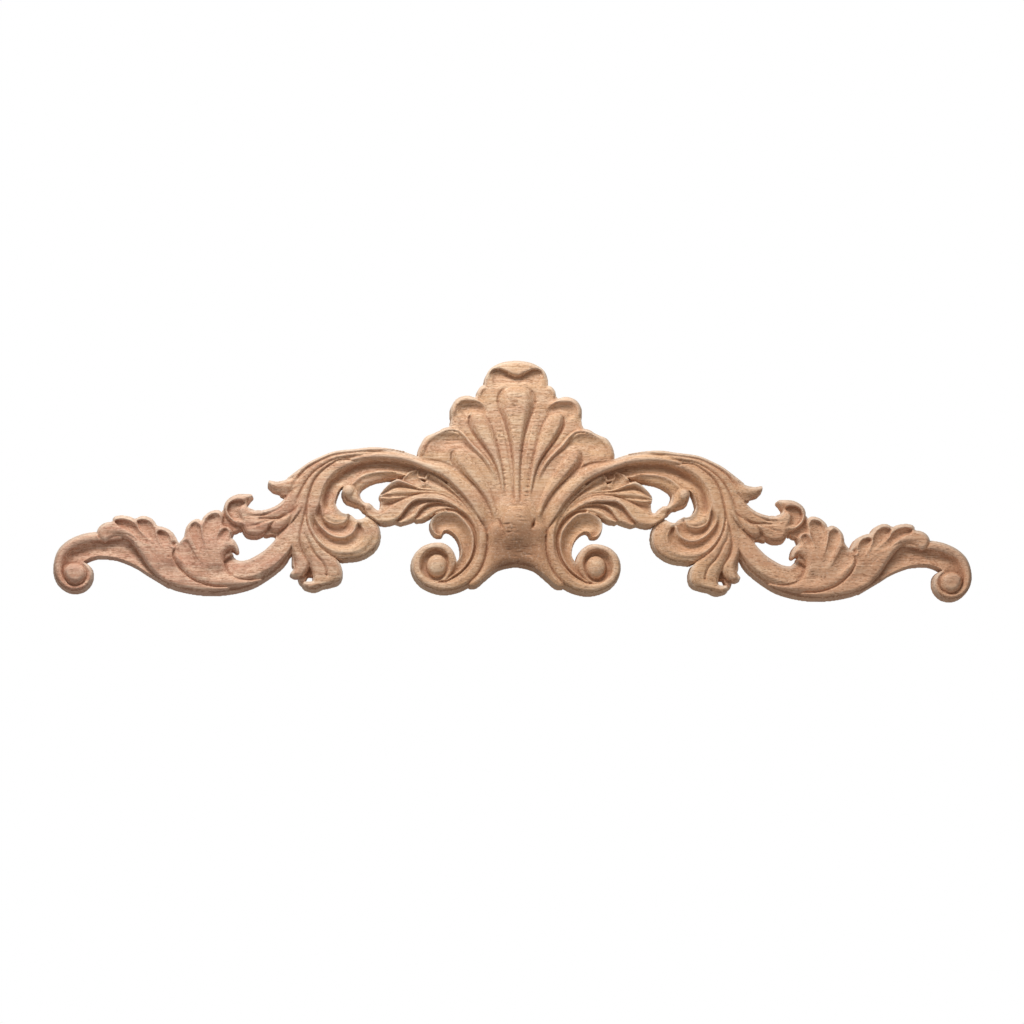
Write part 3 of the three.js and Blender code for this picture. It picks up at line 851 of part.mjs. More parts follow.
// The edge of the carving: where its cover of the board drops to one half
function traceOutline() {
  const next = new Map();
  const crossing = (a, b, i, j, di, dj) => {
    const t = (0.5 - cover[a]) / (cover[b] - cover[a]);
    const x = field.x0 + (i + di * t) * GRID;
    return { edge: `${a},${b}`, x: Math.min(x, 0), y: field.z0 + (j + dj * t) * GRID };
  };
  for (let j = 0; j < field.rows - 1; j++) {
    for (let i = 0; i < field.columns - 1; i++) {
      const c = j * field.columns + i;
      const corner = [c, c + 1, c + 1 + field.columns, c + field.columns];
      const inside = corner.map((n) => cover[n] >= 0.5);
      const kind = inside.reduce((sum, yes, n) => sum + (yes ? 1 << n : 0), 0);
      if (kind === 0 || kind === 15) continue;
      const side = [
        () => crossing(corner[0], corner[1], i, j, 1, 0),
        () => crossing(corner[1], corner[2], i + 1, j, 0, 1),
        () => crossing(corner[3], corner[2], i, j + 1, 1, 0),
        () => crossing(corner[0], corner[3], i, j, 0, 1),
      ];
      // Each pair runs with the wood on its left
      const runs = {
        1: [[0, 3]], 2: [[1, 0]], 3: [[1, 3]], 4: [[2, 1]], 5: [[0, 3], [2, 1]], 6: [[2, 0]],
        7: [[2, 3]], 8: [[3, 2]], 9: [[0, 2]], 10: [[1, 0], [3, 2]], 11: [[1, 2]], 12: [[3, 1]],
        13: [[0, 1]], 14: [[3, 0]],
      }[kind];
      for (const [from, to] of runs) {
        const start = side[from]();
        next.set(start.edge, { start, end: side[to]() });
      }
    }
  }
  const loops = [];
  while (next.size > 0) {
    const loop = [];
    let at = next.keys().next().value;
    while (next.has(at)) {
      const run = next.get(at);
      next.delete(at);
      loop.push(new THREE.Vector2(run.start.x, run.start.y));
      at = run.end.edge;
    }
    loops.push(loop);
  }
  return loops;
}

// Keeps only the points that the edge needs to stay true
function thin(points, tolerance) {
  if (points.length < 3) return points;
  const [a, b] = [points[0], points[points.length - 1]];
  let [worst, far] = [0, 0];
  points.forEach((p, n) => {
    const off = distanceToSegment(p.x, p.y, a, b);
    if (off > far) [worst, far] = [n, off];
  });
  if (far < tolerance) return [a, b];
  const firstPart = thin(points.slice(0, worst + 1), tolerance);
  return [...firstPart.slice(0, -1), ...thin(points.slice(worst), tolerance)];
}

// The loop that reaches the middle plane starts and ends on it; the others are closed holes
function orderLoop(loop) {
  const onAxis = (p) => p.x > -GRID * 1e-3;
  const begin = loop.findIndex((p, n) => onAxis(loop[(n + loop.length - 1) % loop.length]) && !onAxis(p));
  const turned = begin < 0 ? loop : [...loop.slice(begin), ...loop.slice(0, begin)];
  if (begin < 0) {
    const half = Math.floor(turned.length / 2);
    const closed = [...turned, turned[0]];
    const points = [...thin(closed.slice(0, half + 1), OUTLINE_TOLERANCE).slice(0, -1),
      ...thin(closed.slice(half), OUTLINE_TOLERANCE)];
    return { points: points.slice(0, -1), closed: true };
  }
  const free = turned.filter((p) => !onAxis(p));
  const first = new THREE.Vector2(0, free[0].y);
  const last = new THREE.Vector2(0, free[free.length - 1].y);
  return { points: thin([first, ...free, last], OUTLINE_TOLERANCE), closed: false };
}

const loops = traceOutline().filter((loop) => loop.length > SHORTEST_EDGE).map(orderLoop);

// Splits long stretches of the edge so that the carved points near it join it neatly
for (const loop of loops) {
  const ends = loop.closed ? [...loop.points, loop.points[0]] : loop.points;
  const finer = [];
  ends.slice(1).forEach((b, n) => {
    const a = ends[n];
    const parts = Math.max(Math.ceil(a.distanceTo(b) / EDGE_STEP), 1);
    for (let k = 0; k < parts; k++) finer.push(a.clone().lerp(b, k / parts));
  });
  if (!loop.closed) finer.push(ends[ends.length - 1]);
  loop.points = finer;
}

const outer = loops.find((loop) => !loop.closed);

const [axisTop, axisFoot] = [outer.points[0], outer.points[outer.points.length - 1]];
const axisCount = Math.round(Math.abs(axisTop.y - axisFoot.y) / AXIS_STEP);
const onAxisAt = (_, k) => axisFoot.clone().lerp(axisTop, (k + 1) / axisCount);
const axis = Array.from({ length: axisCount - 1 }, onAxisAt);

// Twice the area of a flat triangle, positive where its corners run anticlockwise
function doubleArea(p, q, r) {
  return (q.x - p.x) * (r.y - p.y) - (q.y - p.y) * (r.x - p.x);
}

// Edge runs as pairs of points, for the tests of what lies inside the outline
function edgeRuns() {
  const runs = loops.flatMap(({ points, closed }) => {
    const ends = closed ? [...points, points[0]] : points;
    return ends.slice(1).map((b, n) => [ends[n], b]);
  });
  return [...runs, ...[axisFoot, ...axis, axisTop].slice(1).map((b, n) => [[axisFoot, ...axis][n], b])];
}

function insideOutline(x, z, runs) {
  let inside = false;
  for (const [a, b] of runs) {
    if ((a.y > z) !== (b.y > z) && x < (b.x - a.x) * (z - a.y) / (b.y - a.y) + a.x) inside = !inside;
  }
  return inside;
}

// Triangles that join points of the sheet with no point inside any triangle's circle: the
// lower hull of the points once each is lifted onto a bowl
function triangulate(points) {
  const reach = LENGTH / 4;
  const shake = (n) => 1e-6 * (((n * 0.6180339887) % 1) - 0.5);
  const lifted = points.map((p, n) => {
    const x = (p.x + reach) / reach + shake(n + 1);
    const y = p.y / reach + shake(n + 7);
    return Object.assign(new THREE.Vector3(x, y, x * x + y * y), { index: n });
  });
  const hull = new ConvexHull().setFromPoints(lifted);
  return hull.faces.filter((face) => face.normal.z < 0).map((face) => {
    const first = face.edge;
    return [first.head().point.index, first.next.head().point.index, first.next.next.head().point.index];
  }).map(([a, b, c]) => (doubleArea(points[a], points[b], points[c]) > 0 ? [a, b, c] : [a, c, b]));
}

// Adds the points where the flat triangles miss the carved height most, a few at a time
const carved = [];
const everyPoint = () => [...loops.flatMap((loop) => loop.points), ...axis, ...carved];

function worstMiss([a, b, c], points, heights) {
  const [p, q, r] = [points[a], points[b], points[c]];
  const area = doubleArea(p, q, r);
  if (area < GRID * GRID) return null;
  const worst = { miss: 0 };
  const visit = (x, z) => {
    const u = ((q.x - x) * (r.y - z) - (q.y - z) * (r.x - x)) / area;
    const v = ((r.x - x) * (p.y - z) - (r.y - z) * (p.x - x)) / area;
    const w = 1 - u - v;
    const nearest = Math.min(u, v, w);
    if (nearest < CORNER_SHARE) return;
    const flatHeight = u * heights[a] + v * heights[b] + w * heights[c];
    const miss = Math.abs(flatHeight - heightAt(x, z)) * Math.sqrt(nearest);
    if (miss > worst.miss) Object.assign(worst, { miss, x, y: z });
  };
  eachSample([p.x, q.x, r.x], [p.y, q.y, r.y], 0, visit);
  return worst.miss > 0 ? worst : null;
}

const allRuns = edgeRuns();
for (let round = 1; round <= ROUNDS; round++) {
  const points = everyPoint();
  const heights = points.map((p) => heightAt(p.x, p.y));
  const wanted = Math.round(CARVED_POINTS * round / ROUNDS) - carved.length;
  const candidates = triangulate(points).map((tri) => worstMiss(tri, points, heights)).filter(Boolean);
  candidates.sort((a, b) => b.miss - a.miss);
  const taken = [];
  for (const { x, y } of candidates) {
    if (taken.length >= wanted) break;
    if (!insideOutline(x, y, allRuns)) continue;
    const closeTo = (middle, gap) => Math.hypot(middle.x - x, middle.y - y) < gap;
    const crowded = taken.some((p) => closeTo(p, 2 * SMALLEST_GAP))
      || points.some((p) => closeTo(p, SMALLEST_GAP))
      || allRuns.some(([a, b]) => closeTo(a.clone().lerp(b, 0.5), RUN_SHARE * a.distanceTo(b)));
    if (!crowded) taken.push(new THREE.Vector2(x, y));
  }
  carved.push(...taken);
}

function pairName(m, n) {
  return `${Math.min(m, n)},${Math.max(m, n)}`;
}

// Where an edge run is missing from the triangles, a point at its middle brings it back
let front = [];
let missing = Infinity;
while (missing > 0) {
  const points = everyPoint();
  front = triangulate(points);
  const joined = new Set(front.flatMap(([a, b, c]) => [pairName(a, b), pairName(b, c), pairName(c, a)]));
  missing = 0;
  let offset = 0;
  for (const loop of loops) {
    const count = loop.points.length;
    const finer = [];
    loop.points.forEach((p, n) => {
      finer.push(p);
      if (!loop.closed && n === count - 1) return;
      const m = (n + 1) % count;
      if (joined.has(pairName(offset + n, offset + m))) return;
      finer.push(p.clone().lerp(loop.points[m], 0.5));
      missing += 1;
    });
    offset += count;
    loop.points = finer;
  }
}

// Drops the triangles that lie outside the outline
const sheetPoints = everyPoint();
const finalRuns = edgeRuns();
front = front.filter((tri) => {
  const [p, q, r] = tri.map((n) => sheetPoints[n]);
  const [x, z] = [(p.x + q.x + r.x) / 3, (p.y + q.y + r.y) / 3];
  return doubleArea(p, q, r) > 1e-6 && insideOutline(x, z, finalRuns);
});

// The back edge: each point of the front edge moved outwards by the draft, less where the
// next edge is near
function backEdge({ points, closed }) {
  const count = points.length;
  return points.map((p, n) => {
    const before = points[(n + count - 1) % count];
    const after = points[(n + 1) % count];
    const out = new THREE.Vector2();
    if (closed || n > 0) out.add(new THREE.Vector2(p.y - before.y, before.x - p.x).normalize());
    if (closed || n < count - 1) out.add(new THREE.Vector2(after.y - p.y, p.x - after.x).normalize());
    if (!closed && (n === 0 || n === count - 1)) out.x = 0;
    out.normalize();
    let room = Infinity;
    for (const [a, b] of finalRuns) {
      if (a === p || b === p || (a.x === 0 && b.x === 0)) continue;
      const middle = new THREE.Vector2((a.x + b.x) / 2 - p.x, (a.y + b.y) / 2 - p.y);
      if (middle.dot(out) > 0) room = Math.min(room, distanceToSegment(p.x, p.y, a, b));
    }
    return p.clone().addScaledVector(out, Math.min(EDGE_DRAFT, ROOM_SHARE * room));
  });
}

const position = [];
const addVertex = (x, y, z) => position.push(x, y, z) / 3 - 1;
const triangles = [];

// One half as drawn, then its mirror image; points on the middle plane are shared
const frontLeft = sheetPoints.map((p) => addVertex(p.x, -heightAt(p.x, p.y), p.y));
const mirrored = (p, n) => (p.x === 0 ? frontLeft[n] : addVertex(-p.x, -heightAt(p.x, p.y), p.y));
const frontRight = sheetPoints.map(mirrored);
for (const [a, b, c] of front) {
  triangles.push([frontLeft[a], frontLeft[b], frontLeft[c]]);
  triangles.push([frontRight[a], frontRight[c], frontRight[b]]);
}

const backLoops = [];
let firstPoint = 0;
for (const loop of loops) {
  const edge = backEdge(loop);
  const left = edge.map((p) => addVertex(p.x, 0, p.y));
  const right = edge.map((p, n) => (p.x === 0 ? left[n] : addVertex(-p.x, 0, p.y)));
  const count = edge.length;
  for (let n = 0; n < (loop.closed ? count : count - 1); n++) {
    const [f, g, m] = [firstPoint + n, firstPoint + (n + 1) % count, (n + 1) % count];
    triangles.push([frontLeft[g], frontLeft[f], left[n]], [frontLeft[g], left[n], left[m]]);
    triangles.push([frontRight[f], frontRight[g], right[n]], [frontRight[g], right[m], right[n]]);
  }
  firstPoint += count;
  if (loop.closed) {
    backLoops.push(left, right);
  } else {
    backLoops.unshift([...left, ...right.slice(1, -1).reverse()]);
  }
}

const flat = (ring) => ring.map((n) => new THREE.Vector2(position[3 * n], position[3 * n + 2]));
const [outerRing, ...openings] = backLoops.map(flat);
const ringVertices = backLoops.flat();
for (const tri of THREE.ShapeUtils.triangulateShape(outerRing, openings)) {
  const [p, q, r] = tri.map((n) => ringVertices[n]);
  triangles.push(doubleArea(...flat([p, q, r])) > 0 ? [p, r, q] : [p, q, r]);
}

const geometry = new THREE.BufferGeometry();
geometry.setAttribute('position', new THREE.Float32BufferAttribute(position, 3));
geometry.setIndex(triangles.flat());
geometry.computeVertexNormals();

const applique = new THREE.Mesh(geometry, wood);
applique.name = 'carved_applique';
const group = new THREE.Group();
group.add(applique);

export default group;
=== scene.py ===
# %% [markdown]
# A carved wood applique. One board of pale timber, 400 mm long, is cut by hand into a
# shell over a knot, with a C-scroll, an arch and a run of wave leaves on each side. The
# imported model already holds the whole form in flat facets, so this lesson keeps its
# outline and sizes and carves the same board again with a finer tool.
#
# The frame comes first. It is in metres: X runs along the piece, Z is up, the flat back
# lies at y = 0 and the carving rises towards -Y, where the camera stands.

import bpy
import numpy as np
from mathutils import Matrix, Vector


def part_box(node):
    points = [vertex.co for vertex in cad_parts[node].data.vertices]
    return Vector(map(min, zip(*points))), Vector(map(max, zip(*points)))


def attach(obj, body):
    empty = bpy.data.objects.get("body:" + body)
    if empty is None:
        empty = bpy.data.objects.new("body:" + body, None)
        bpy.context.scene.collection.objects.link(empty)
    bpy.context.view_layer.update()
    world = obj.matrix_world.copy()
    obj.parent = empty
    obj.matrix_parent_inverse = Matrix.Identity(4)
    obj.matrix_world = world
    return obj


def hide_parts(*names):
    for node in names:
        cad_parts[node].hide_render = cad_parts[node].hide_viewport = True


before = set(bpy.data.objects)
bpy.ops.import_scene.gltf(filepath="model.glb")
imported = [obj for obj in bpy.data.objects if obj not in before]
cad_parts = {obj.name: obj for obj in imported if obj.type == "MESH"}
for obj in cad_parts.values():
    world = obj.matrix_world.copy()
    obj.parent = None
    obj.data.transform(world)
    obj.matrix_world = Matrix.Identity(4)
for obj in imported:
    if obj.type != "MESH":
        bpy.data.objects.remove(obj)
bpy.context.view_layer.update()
node_low, node_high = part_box("carved_applique")
MM = 0.001
length, thickness, height = np.array(node_high - node_low) / MM
print(f"board: {length:.1f} x {height:.1f} x {thickness:.1f} mm")

# %% [markdown]
# The camera stands where the photograph was taken from: a little below the middle of the
# piece and a few degrees to its left. That is why the lower walls show. The lens is long,
# because the outline hardly tapers from the near side to the far one.

# %% Camera
IMAGE = 1024  # pixels across the photograph
PIECE_PIXELS = 917  # the piece's length in it
CAMERA_BELOW, CAMERA_LEFT = np.radians(10), np.radians(3.6)
LENS, SENSOR = 120, 36
frame_width = length * MM * IMAGE / PIECE_PIXELS
camera_distance = frame_width * LENS / SENSOR
target = Vector((-0.0015, 0, -0.0131))  # the middle of the frame, in metres

camera_data = bpy.data.cameras.new("camera")
camera_data.lens, camera_data.sensor_width = LENS, SENSOR
camera = bpy.data.objects.new("camera", camera_data)
towards_camera = Vector((-np.sin(CAMERA_LEFT), -np.cos(CAMERA_LEFT), 0)) * np.cos(CAMERA_BELOW)
towards_camera.z = -np.sin(CAMERA_BELOW)
camera.location = target + towards_camera * camera_distance
camera.rotation_mode = "QUATERNION"
camera.rotation_quaternion = (-towards_camera).to_track_quat("-Z", "Y")
camera_data.clip_start, camera_data.clip_end = 0.05, 50  # metres
bpy.context.collection.objects.link(camera)
bpy.context.scene.camera = camera
bpy.context.scene.view_settings.view_transform = "Standard"
print(f"camera {camera_distance:.2f} m away, frame {frame_width / MM:.0f} mm wide")

# %% [markdown]
# The white ground of the photograph is only a bright room.

# %% Floor
FLOOR_DEPTH, FLOOR_SIDE, FLOOR_GREY = 1.2, 12, 0.9
floor_mesh = bpy.data.meshes.new("floor")
turns = ((-1, -1), (1, -1), (1, 1), (-1, 1))
corners = [(x * FLOOR_SIDE, y * FLOOR_SIDE, -FLOOR_DEPTH) for x, y in turns]
floor_mesh.from_pydata(corners, [], [(0, 1, 2, 3)])
floor = bpy.data.objects.new("floor", floor_mesh)
floor_paint = bpy.data.materials.new("pale_floor")
floor_paint.use_nodes = True
floor_shader = floor_paint.node_tree.nodes["Principled BSDF"]
floor_shader.inputs["Base Color"].default_value = (FLOOR_GREY, FLOOR_GREY, FLOOR_GREY, 1)
floor_mesh.materials.append(floor_paint)
bpy.context.collection.objects.link(floor)
print(f"floor {FLOOR_DEPTH} m below")

# %% [markdown]
# A strip light close above and a little to the left draws the relief: it grazes the
# steps, and the shell, which is nearest to it, is the brightest part. Two broad, weak
# lights fill the front and the back.

# %% Lights
def soft_light(name, place, watts, wide, deep, tint):
    """A soft box, wide along X and deep across it, in metres, that faces the piece."""
    data = bpy.data.lights.new(name, "AREA")
    data.shape = "RECTANGLE"
    data.energy, data.size, data.size_y, data.color = watts, wide, deep, tint
    lamp = bpy.data.objects.new(name, data)
    lamp.location = place
    lamp.rotation_mode = "QUATERNION"
    lamp.rotation_quaternion = (target - Vector(place)).to_track_quat("-Z", "Y")
    bpy.context.collection.objects.link(lamp)


soft_light("strip_above", (-0.13, -0.33, 0.42), 3.0, 0.3, 0.12, (1, 0.97, 0.94))
soft_light("front_fill", (-0.9, -2.2, 0.5), 6, 1.2, 1.2, (1, 0.98, 0.96))
soft_light("back_fill", (0.9, 2.2, 0.5), 6, 1.2, 1.2, (1, 0.98, 0.96))
print(f"{len(bpy.data.lights)} lights")

# %% [markdown]
# The world is white where the camera looks at it, but weak as a light. A fully white room
# would fill every hollow and leave the carving flat.

# %% White room
ROOM_GLOW, ROOM_SEEN = 0.31, 1.0  # strength of the room as a light, and as the camera sees it
world = bpy.data.worlds.new("white_room")
world.use_nodes = True
bpy.context.scene.world = world
sky = world.node_tree
seen, glow = sky.nodes.new("ShaderNodeLightPath"), sky.nodes.new("ShaderNodeMapRange")
glow.inputs["To Min"].default_value, glow.inputs["To Max"].default_value = ROOM_GLOW, ROOM_SEEN
sky.links.new(seen.outputs["Is Camera Ray"], glow.inputs["Value"])
sky.links.new(glow.outputs["Result"], sky.nodes["Background"].inputs["Strength"])
sky.nodes["Background"].inputs["Color"].default_value = (1, 1, 1, 1)
print(f"room seen at {ROOM_SEEN}, lights at {ROOM_GLOW}")

# %% [markdown]
# The carving is a height above the back for every point of the board, which a carver
# would call the depth of the ground. Only the left half is drawn, and the right half is
# its mirror image. The heights are kept in one array of samples a quarter of a
# millimetre apart, and each tool below changes the whole array, or a window of it, at
# once.
#
# The shapes are drawn on a sheet of the real size, seen from the front in millimetres,
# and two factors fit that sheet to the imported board.

# %% The board as an array of heights
SHEET_LENGTH, SHEET_HEIGHT, SHEET_THICKNESS = 400.4, 104.3, 14.6
EDGE_DRAFT = 0.8  # the sawn edge leans out by this at the back
on_x = (length - 2 * EDGE_DRAFT) / SHEET_LENGTH
on_z = (height - 2 * EDGE_DRAFT) / SHEET_HEIGHT
on_y = thickness / SHEET_THICKNESS
CELL = 0.25  # mm between samples
STATIONS = 49  # along each carved strip
OUTLINE_POINTS = 121  # round each closed outline
SEAM = 0.6  # a strip reaches this far past its edges where only low ground lies beside it

grid_x = np.arange(-206, CELL / 2, CELL)
grid_z = np.arange(-56, 58, CELL)
board = np.zeros((len(grid_z), len(grid_x)))
is_ground = np.zeros(board.shape, bool)
print(f"{board.size} samples, {CELL} mm apart, for the left half")

# %% [markdown]
# Every edge is drawn as a few points, and a smooth curve runs through them. The other
# helpers find the samples near a shape, read a value that changes from root to tip, and
# turn a cross-section into a height.

# %% Curves and cross-sections
def curve(points, count, closed=False):
    """A smooth curve through the points of the sheet, read at equal steps of its length.

    Each stretch is a cubic whose end slopes come from its neighbours, weighed by the square
    root of the distance between points (a centripetal Catmull-Rom curve).
    """
    p = np.asarray(points, float) * (on_x, on_z)
    before, after = (p[-1], p[:2]) if closed else (2 * p[0] - p[1], 2 * p[-1] - p[-2])
    p = np.vstack([before, p, after])
    p0, p1, p2, p3 = p[:-3], p[1:-2], p[2:-1], p[3:]
    d0, d1, d2 = (np.hypot(*(b - a).T)[:, None] ** 0.5 + 1e-4 for a, b in ((p0, p1), (p1, p2), (p2, p3)))
    start = (p1 - p0) / d0 * d1 - (p2 - p0) / (d0 + d1) * d1 + (p2 - p1)
    end = (p2 - p1) - (p3 - p1) / (d1 + d2) * d1 + (p3 - p2) / d2 * d1
    t = np.linspace(0, 1, 17)[None, :-1, None]
    square, cube = 3 * (p2 - p1) - 2 * start - end, 2 * (p1 - p2) + start + end
    start, square, cube = start[:, None] * t, square[:, None] * t**2, cube[:, None] * t**3
    line = np.vstack([(p1[:, None] + start + square + cube).reshape(-1, 2), p2[-1]])
    travelled = np.r_[0, np.cumsum(np.hypot(*np.diff(line, axis=0).T))]
    at = np.linspace(0, travelled[-1], count)
    return np.stack([np.interp(at, travelled, line[:, k]) for k in (0, 1)], 1)


def window(points, margin=0.0):
    """The slices of the array that hold these points and a margin, and the places of their samples."""
    low, high = np.min(points, 0) - margin, np.max(points, 0) + margin
    columns = slice(*np.searchsorted(grid_x, (low[0] - CELL, high[0] + CELL)))
    rows = slice(*np.searchsorted(grid_z, (low[1] - CELL, high[1] + CELL)))
    x, z = np.meshgrid(grid_x[columns], grid_z[rows])
    return (rows, columns), x, z


def along(values, u):
    """The value at share u of a short list that is spread evenly from root to tip."""
    if len(values) == 1:
        return np.full_like(u, values[0])
    return np.interp(u, np.linspace(0, 1, len(values)), values)


def ease(share):
    """0 before the start and 1 after the end, level at both (3t^2 - 2t^3)."""
    t = np.clip(share, 0, 1)
    return t * t * (3 - 2 * t)


def section_height(v, section):
    """Height share at place v across a strip.

    A knot of the section is (place, height) at a sharp arris and (place, height, 1) where the
    surface is level and round, so each stretch is straight, a quarter round or an S.
    """
    share = np.zeros_like(v)
    for a, b in zip(section[:-1], section[1:]):
        t = np.clip((v - a[0]) / max(b[0] - a[0], 1e-6), 0, 1)
        round_a, round_b = len(a) > 2, len(b) > 2
        t = ease(t) if round_a and round_b else t * (2 - t) if round_b else t * t if round_a else t
        share = np.where((v >= a[0]) & (v <= b[0]), a[1] + (b[1] - a[1]) * t, share)
    return share


print(f"a curve through 3 points, read at 5: {curve([(0, 0), (4, 3), (8, 0)], 5).round(1).tolist()}")

# %% [markdown]
# A carver works in strips: a lobe of a leaf or a fillet of a scroll lies between two
# edges that run side by side. The ribbon tool takes those two edges and one
# cross-section. Each sample between the edges finds its place (u along, v across) by
# turning the four-sided stretch between two stations into a unit square, and takes
# base(u) + rise(u) * section(v). Near its ends and edges a strip may fade into what it
# covers, which is how lobes grow out of one body.

# %% The strip tool
def ribbon(left, right, section, base, rise, fade=(0, 0, 0, 0), stations=STATIONS):
    """Lays a strip over the board: height = base(u) + rise(u) * section(v) between two edges.

    fade gives the shares of its root, tip, left and right over which it blends in. A long
    strip may ask for more stations.
    """
    left, right = curve(left, stations), curve(right, stations)
    for k in range(stations - 1):
        a, b, c, d = left[k], right[k], left[k + 1], right[k + 1]
        at, x, z = window((a, b, c, d), SEAM)
        before = (b[0] - a[0]) * (z - a[1]) - (b[1] - a[1]) * (x - a[0])
        after = (d[0] - c[0]) * (z - c[1]) - (d[1] - c[1]) * (x - c[0])
        t = before / np.where(before == after, 1e-9, before - after)
        left_x, left_z = a[0] + (c[0] - a[0]) * t, a[1] + (c[1] - a[1]) * t
        wide_x, wide_z = b[0] + (d[0] - b[0]) * t - left_x, b[1] + (d[1] - b[1]) * t - left_z
        width = np.maximum(np.hypot(wide_x, wide_z), 1e-5)
        across = ((x - left_x) * wide_x + (z - left_z) * wide_z) / width**2
        outside = np.maximum(-across, across - 1) * width
        touched = (t >= 0) & (t <= 1) & (outside <= np.where(is_ground[at], SEAM, 1e-6))
        u, v = (k + np.clip(t, 0, 1)) / (stations - 1), np.clip(across, 0, 1)
        new = on_y * (along(base, u) + along(rise, u) * section_height(v, section))
        share = np.ones_like(new)
        for place, reach in zip((u, 1 - u, v, 1 - v), fade):
            share = share * ease(place / reach) if reach else share
        old = board[at]
        new = np.where((old > 0) & ~is_ground[at], old + (new - old) * share, new)
        board[at] = np.where(touched, new, old)
        is_ground[at] &= ~touched


# %% [markdown]
# The other tools first work out the distance of every sample from a curve. Those with a
# closed outline are a pad, the low ground that is left under the strips, and an opening
# sawn right through.

# %% The pad, the ground and the opening
def distance_to(line, x, z):
    """Distance of each sample from a line of points, and the share of the line nearest to it."""
    near, share = np.full(x.shape, np.inf), np.zeros(x.shape)
    for k, (a, b) in enumerate(zip(line[:-1], line[1:])):
        run = b - a
        t = np.clip(((x - a[0]) * run[0] + (z - a[1]) * run[1]) / max(run @ run, 1e-12), 0, 1)
        off = np.hypot(x - a[0] - t * run[0], z - a[1] - t * run[1])
        share = np.where(off < near, (k + t) / (len(line) - 1), share)
        near = np.minimum(near, off)
    return near, share


def closed_window(outline):
    """The window round a closed outline, which samples lie inside it, and how far from it they are.

    A sample is inside when a line drawn from it to one side crosses the outline an odd number
    of times.
    """
    loop = curve(outline, OUTLINE_POINTS, closed=True)
    at, x, z = window(loop)
    (ax, az), (bx, bz) = loop[:-1].T[:, :, None, None], loop[1:].T[:, :, None, None]
    meets = (bx - ax) * (z - az) / np.where(az == bz, 1, bz - az) + ax
    crossings = (((az > z) != (bz > z)) & (x < meets)).sum(0)
    return at, crossings % 2 == 1, distance_to(loop, x, z)[0]


def plate(outline, edge, top, width, as_ground=False):
    """A pad: height rises from edge to top as t(2 - t) over a width inside its closed outline."""
    at, inside, near = closed_window(outline)
    t = np.clip(near / (width * on_x), 0, 1)
    if as_ground:
        inside &= board[at] == 0
    board[at] = np.where(inside, on_y * (edge + (top - edge) * t * (2 - t)), board[at])
    is_ground[at] = np.where(inside, as_ground, is_ground[at])


def pierce(outline):
    """Saws the board right through inside a closed outline."""
    at, inside, _ = closed_window(outline)
    board[at] = np.where(inside, 0, board[at])


def ground(outline, low):
    """Ground left at one height, laid only where the board is still empty."""
    plate(outline, low, low, 1, as_ground=True)


# %% [markdown]
# The last tools are a round boss and a soft swelling, which go by the distance from a
# centre, and a fine line that is cut along a curve. A swelling or a line changes what is
# already there, so it comes after the strips under it.

# %% The boss, the swelling and the cut line
def round_window(centre, rx, rz):
    """The window round an ellipse, and each sample's distance from its centre in radii."""
    middle = np.array(centre) * (on_x, on_z)
    radii = np.array((rx * on_x, rz * on_z))
    at, x, z = window((middle - radii, middle + radii))
    return at, np.hypot((x - middle[0]) / radii[0], (z - middle[1]) / radii[1])


def dome(centre, rx, rz, base, rise):
    """A boss: base + rise * sqrt(1 - r^2)."""
    at, r = round_window(centre, rx, rz)
    top = on_y * (base + rise * np.sqrt(np.clip(1 - r * r, 0, 1)))
    board[at] = np.where(r <= 1, top, board[at])
    is_ground[at] &= r > 1


def swell(centre, rx, rz, rise):
    """Adds rise * (1 - r^2)^2 to what is there; a negative rise sinks it."""
    at, r = round_window(centre, rx, rz)
    board[at] += np.where(board[at] > 0, on_y * rise * np.clip(1 - r * r, 0, 1) ** 2, 0)


def vein(points, width, depth):
    """Cuts a line: depth along its length, eased out to nothing at its width on either side."""
    line = curve(points, STATIONS)
    at, x, z = window(line, width)
    near, share = distance_to(line, x, z)
    board[at] -= np.where(board[at] > 0, on_y * along(depth, share) * ease(1 - near / width), 0)


def measured(name):
    """Says how much of the half board is carved so far."""
    print(f"{name}: {100 * (board > 0).mean():.1f}% of the sheet carved, highest {board.max():.1f} mm")


# %% [markdown]
# Cross-sections that many strips share. A knot is (place across, height share), with a 1
# where the surface is round there: a roll stands up in the middle, a hollow is dished
# between raised sides, a curl is a deep hollow with a thin lip.

# %% Shared cross-sections
ROUND = [[0, 0], [0.5, 1, 1], [1, 0]]
ROLL = [[0, 0], [0.4, 1, 1], [1, 0.2]]
HOLLOW = [[0, 0.85], [0.4, 0, 1], [1, 0.65]]
CURL = [[0, 1], [0.12, 0.6], [0.42, 0, 1], [1, 1]]
STRAND = [[0, 0.1], [0.4, 1, 1], [0.75, 0.85, 1], [1, 0.1]]

# %% [markdown]
# Where two strips meet, a hair of empty board could be left between them. On the real
# piece the chisel leaves a low floor there. These pads are that floor, a little lower
# than the carving, and the strips cover nearly all of it.

# %% Ground under the strips
# Shell
ground(
    [[0, 52], [-7.7, 51], [-12, 48], [-13.3, 42.5], [-16.5, 40], [-17, 36.5], [-23.6, 36.5], [-28, 32],
     [-28, 25.5], [-29.3, 22.8], [-35, 19.8], [-41, 16], [-42.7, 10], [-41, 7], [-30, -1], [-20, -12],
     [-16, -24], [-18, -40], [-30, -48], [-20, -46.6], [-12, -41], [0, -37.4], [12, -41], [20, -46.6],
     [16, -24], [20, -12], [30, -1], [41, 7], [42.7, 10], [35, 19.8], [28, 25.5], [28, 32], [17, 36.5],
     [13.3, 42.5], [7.7, 51]],
    7)
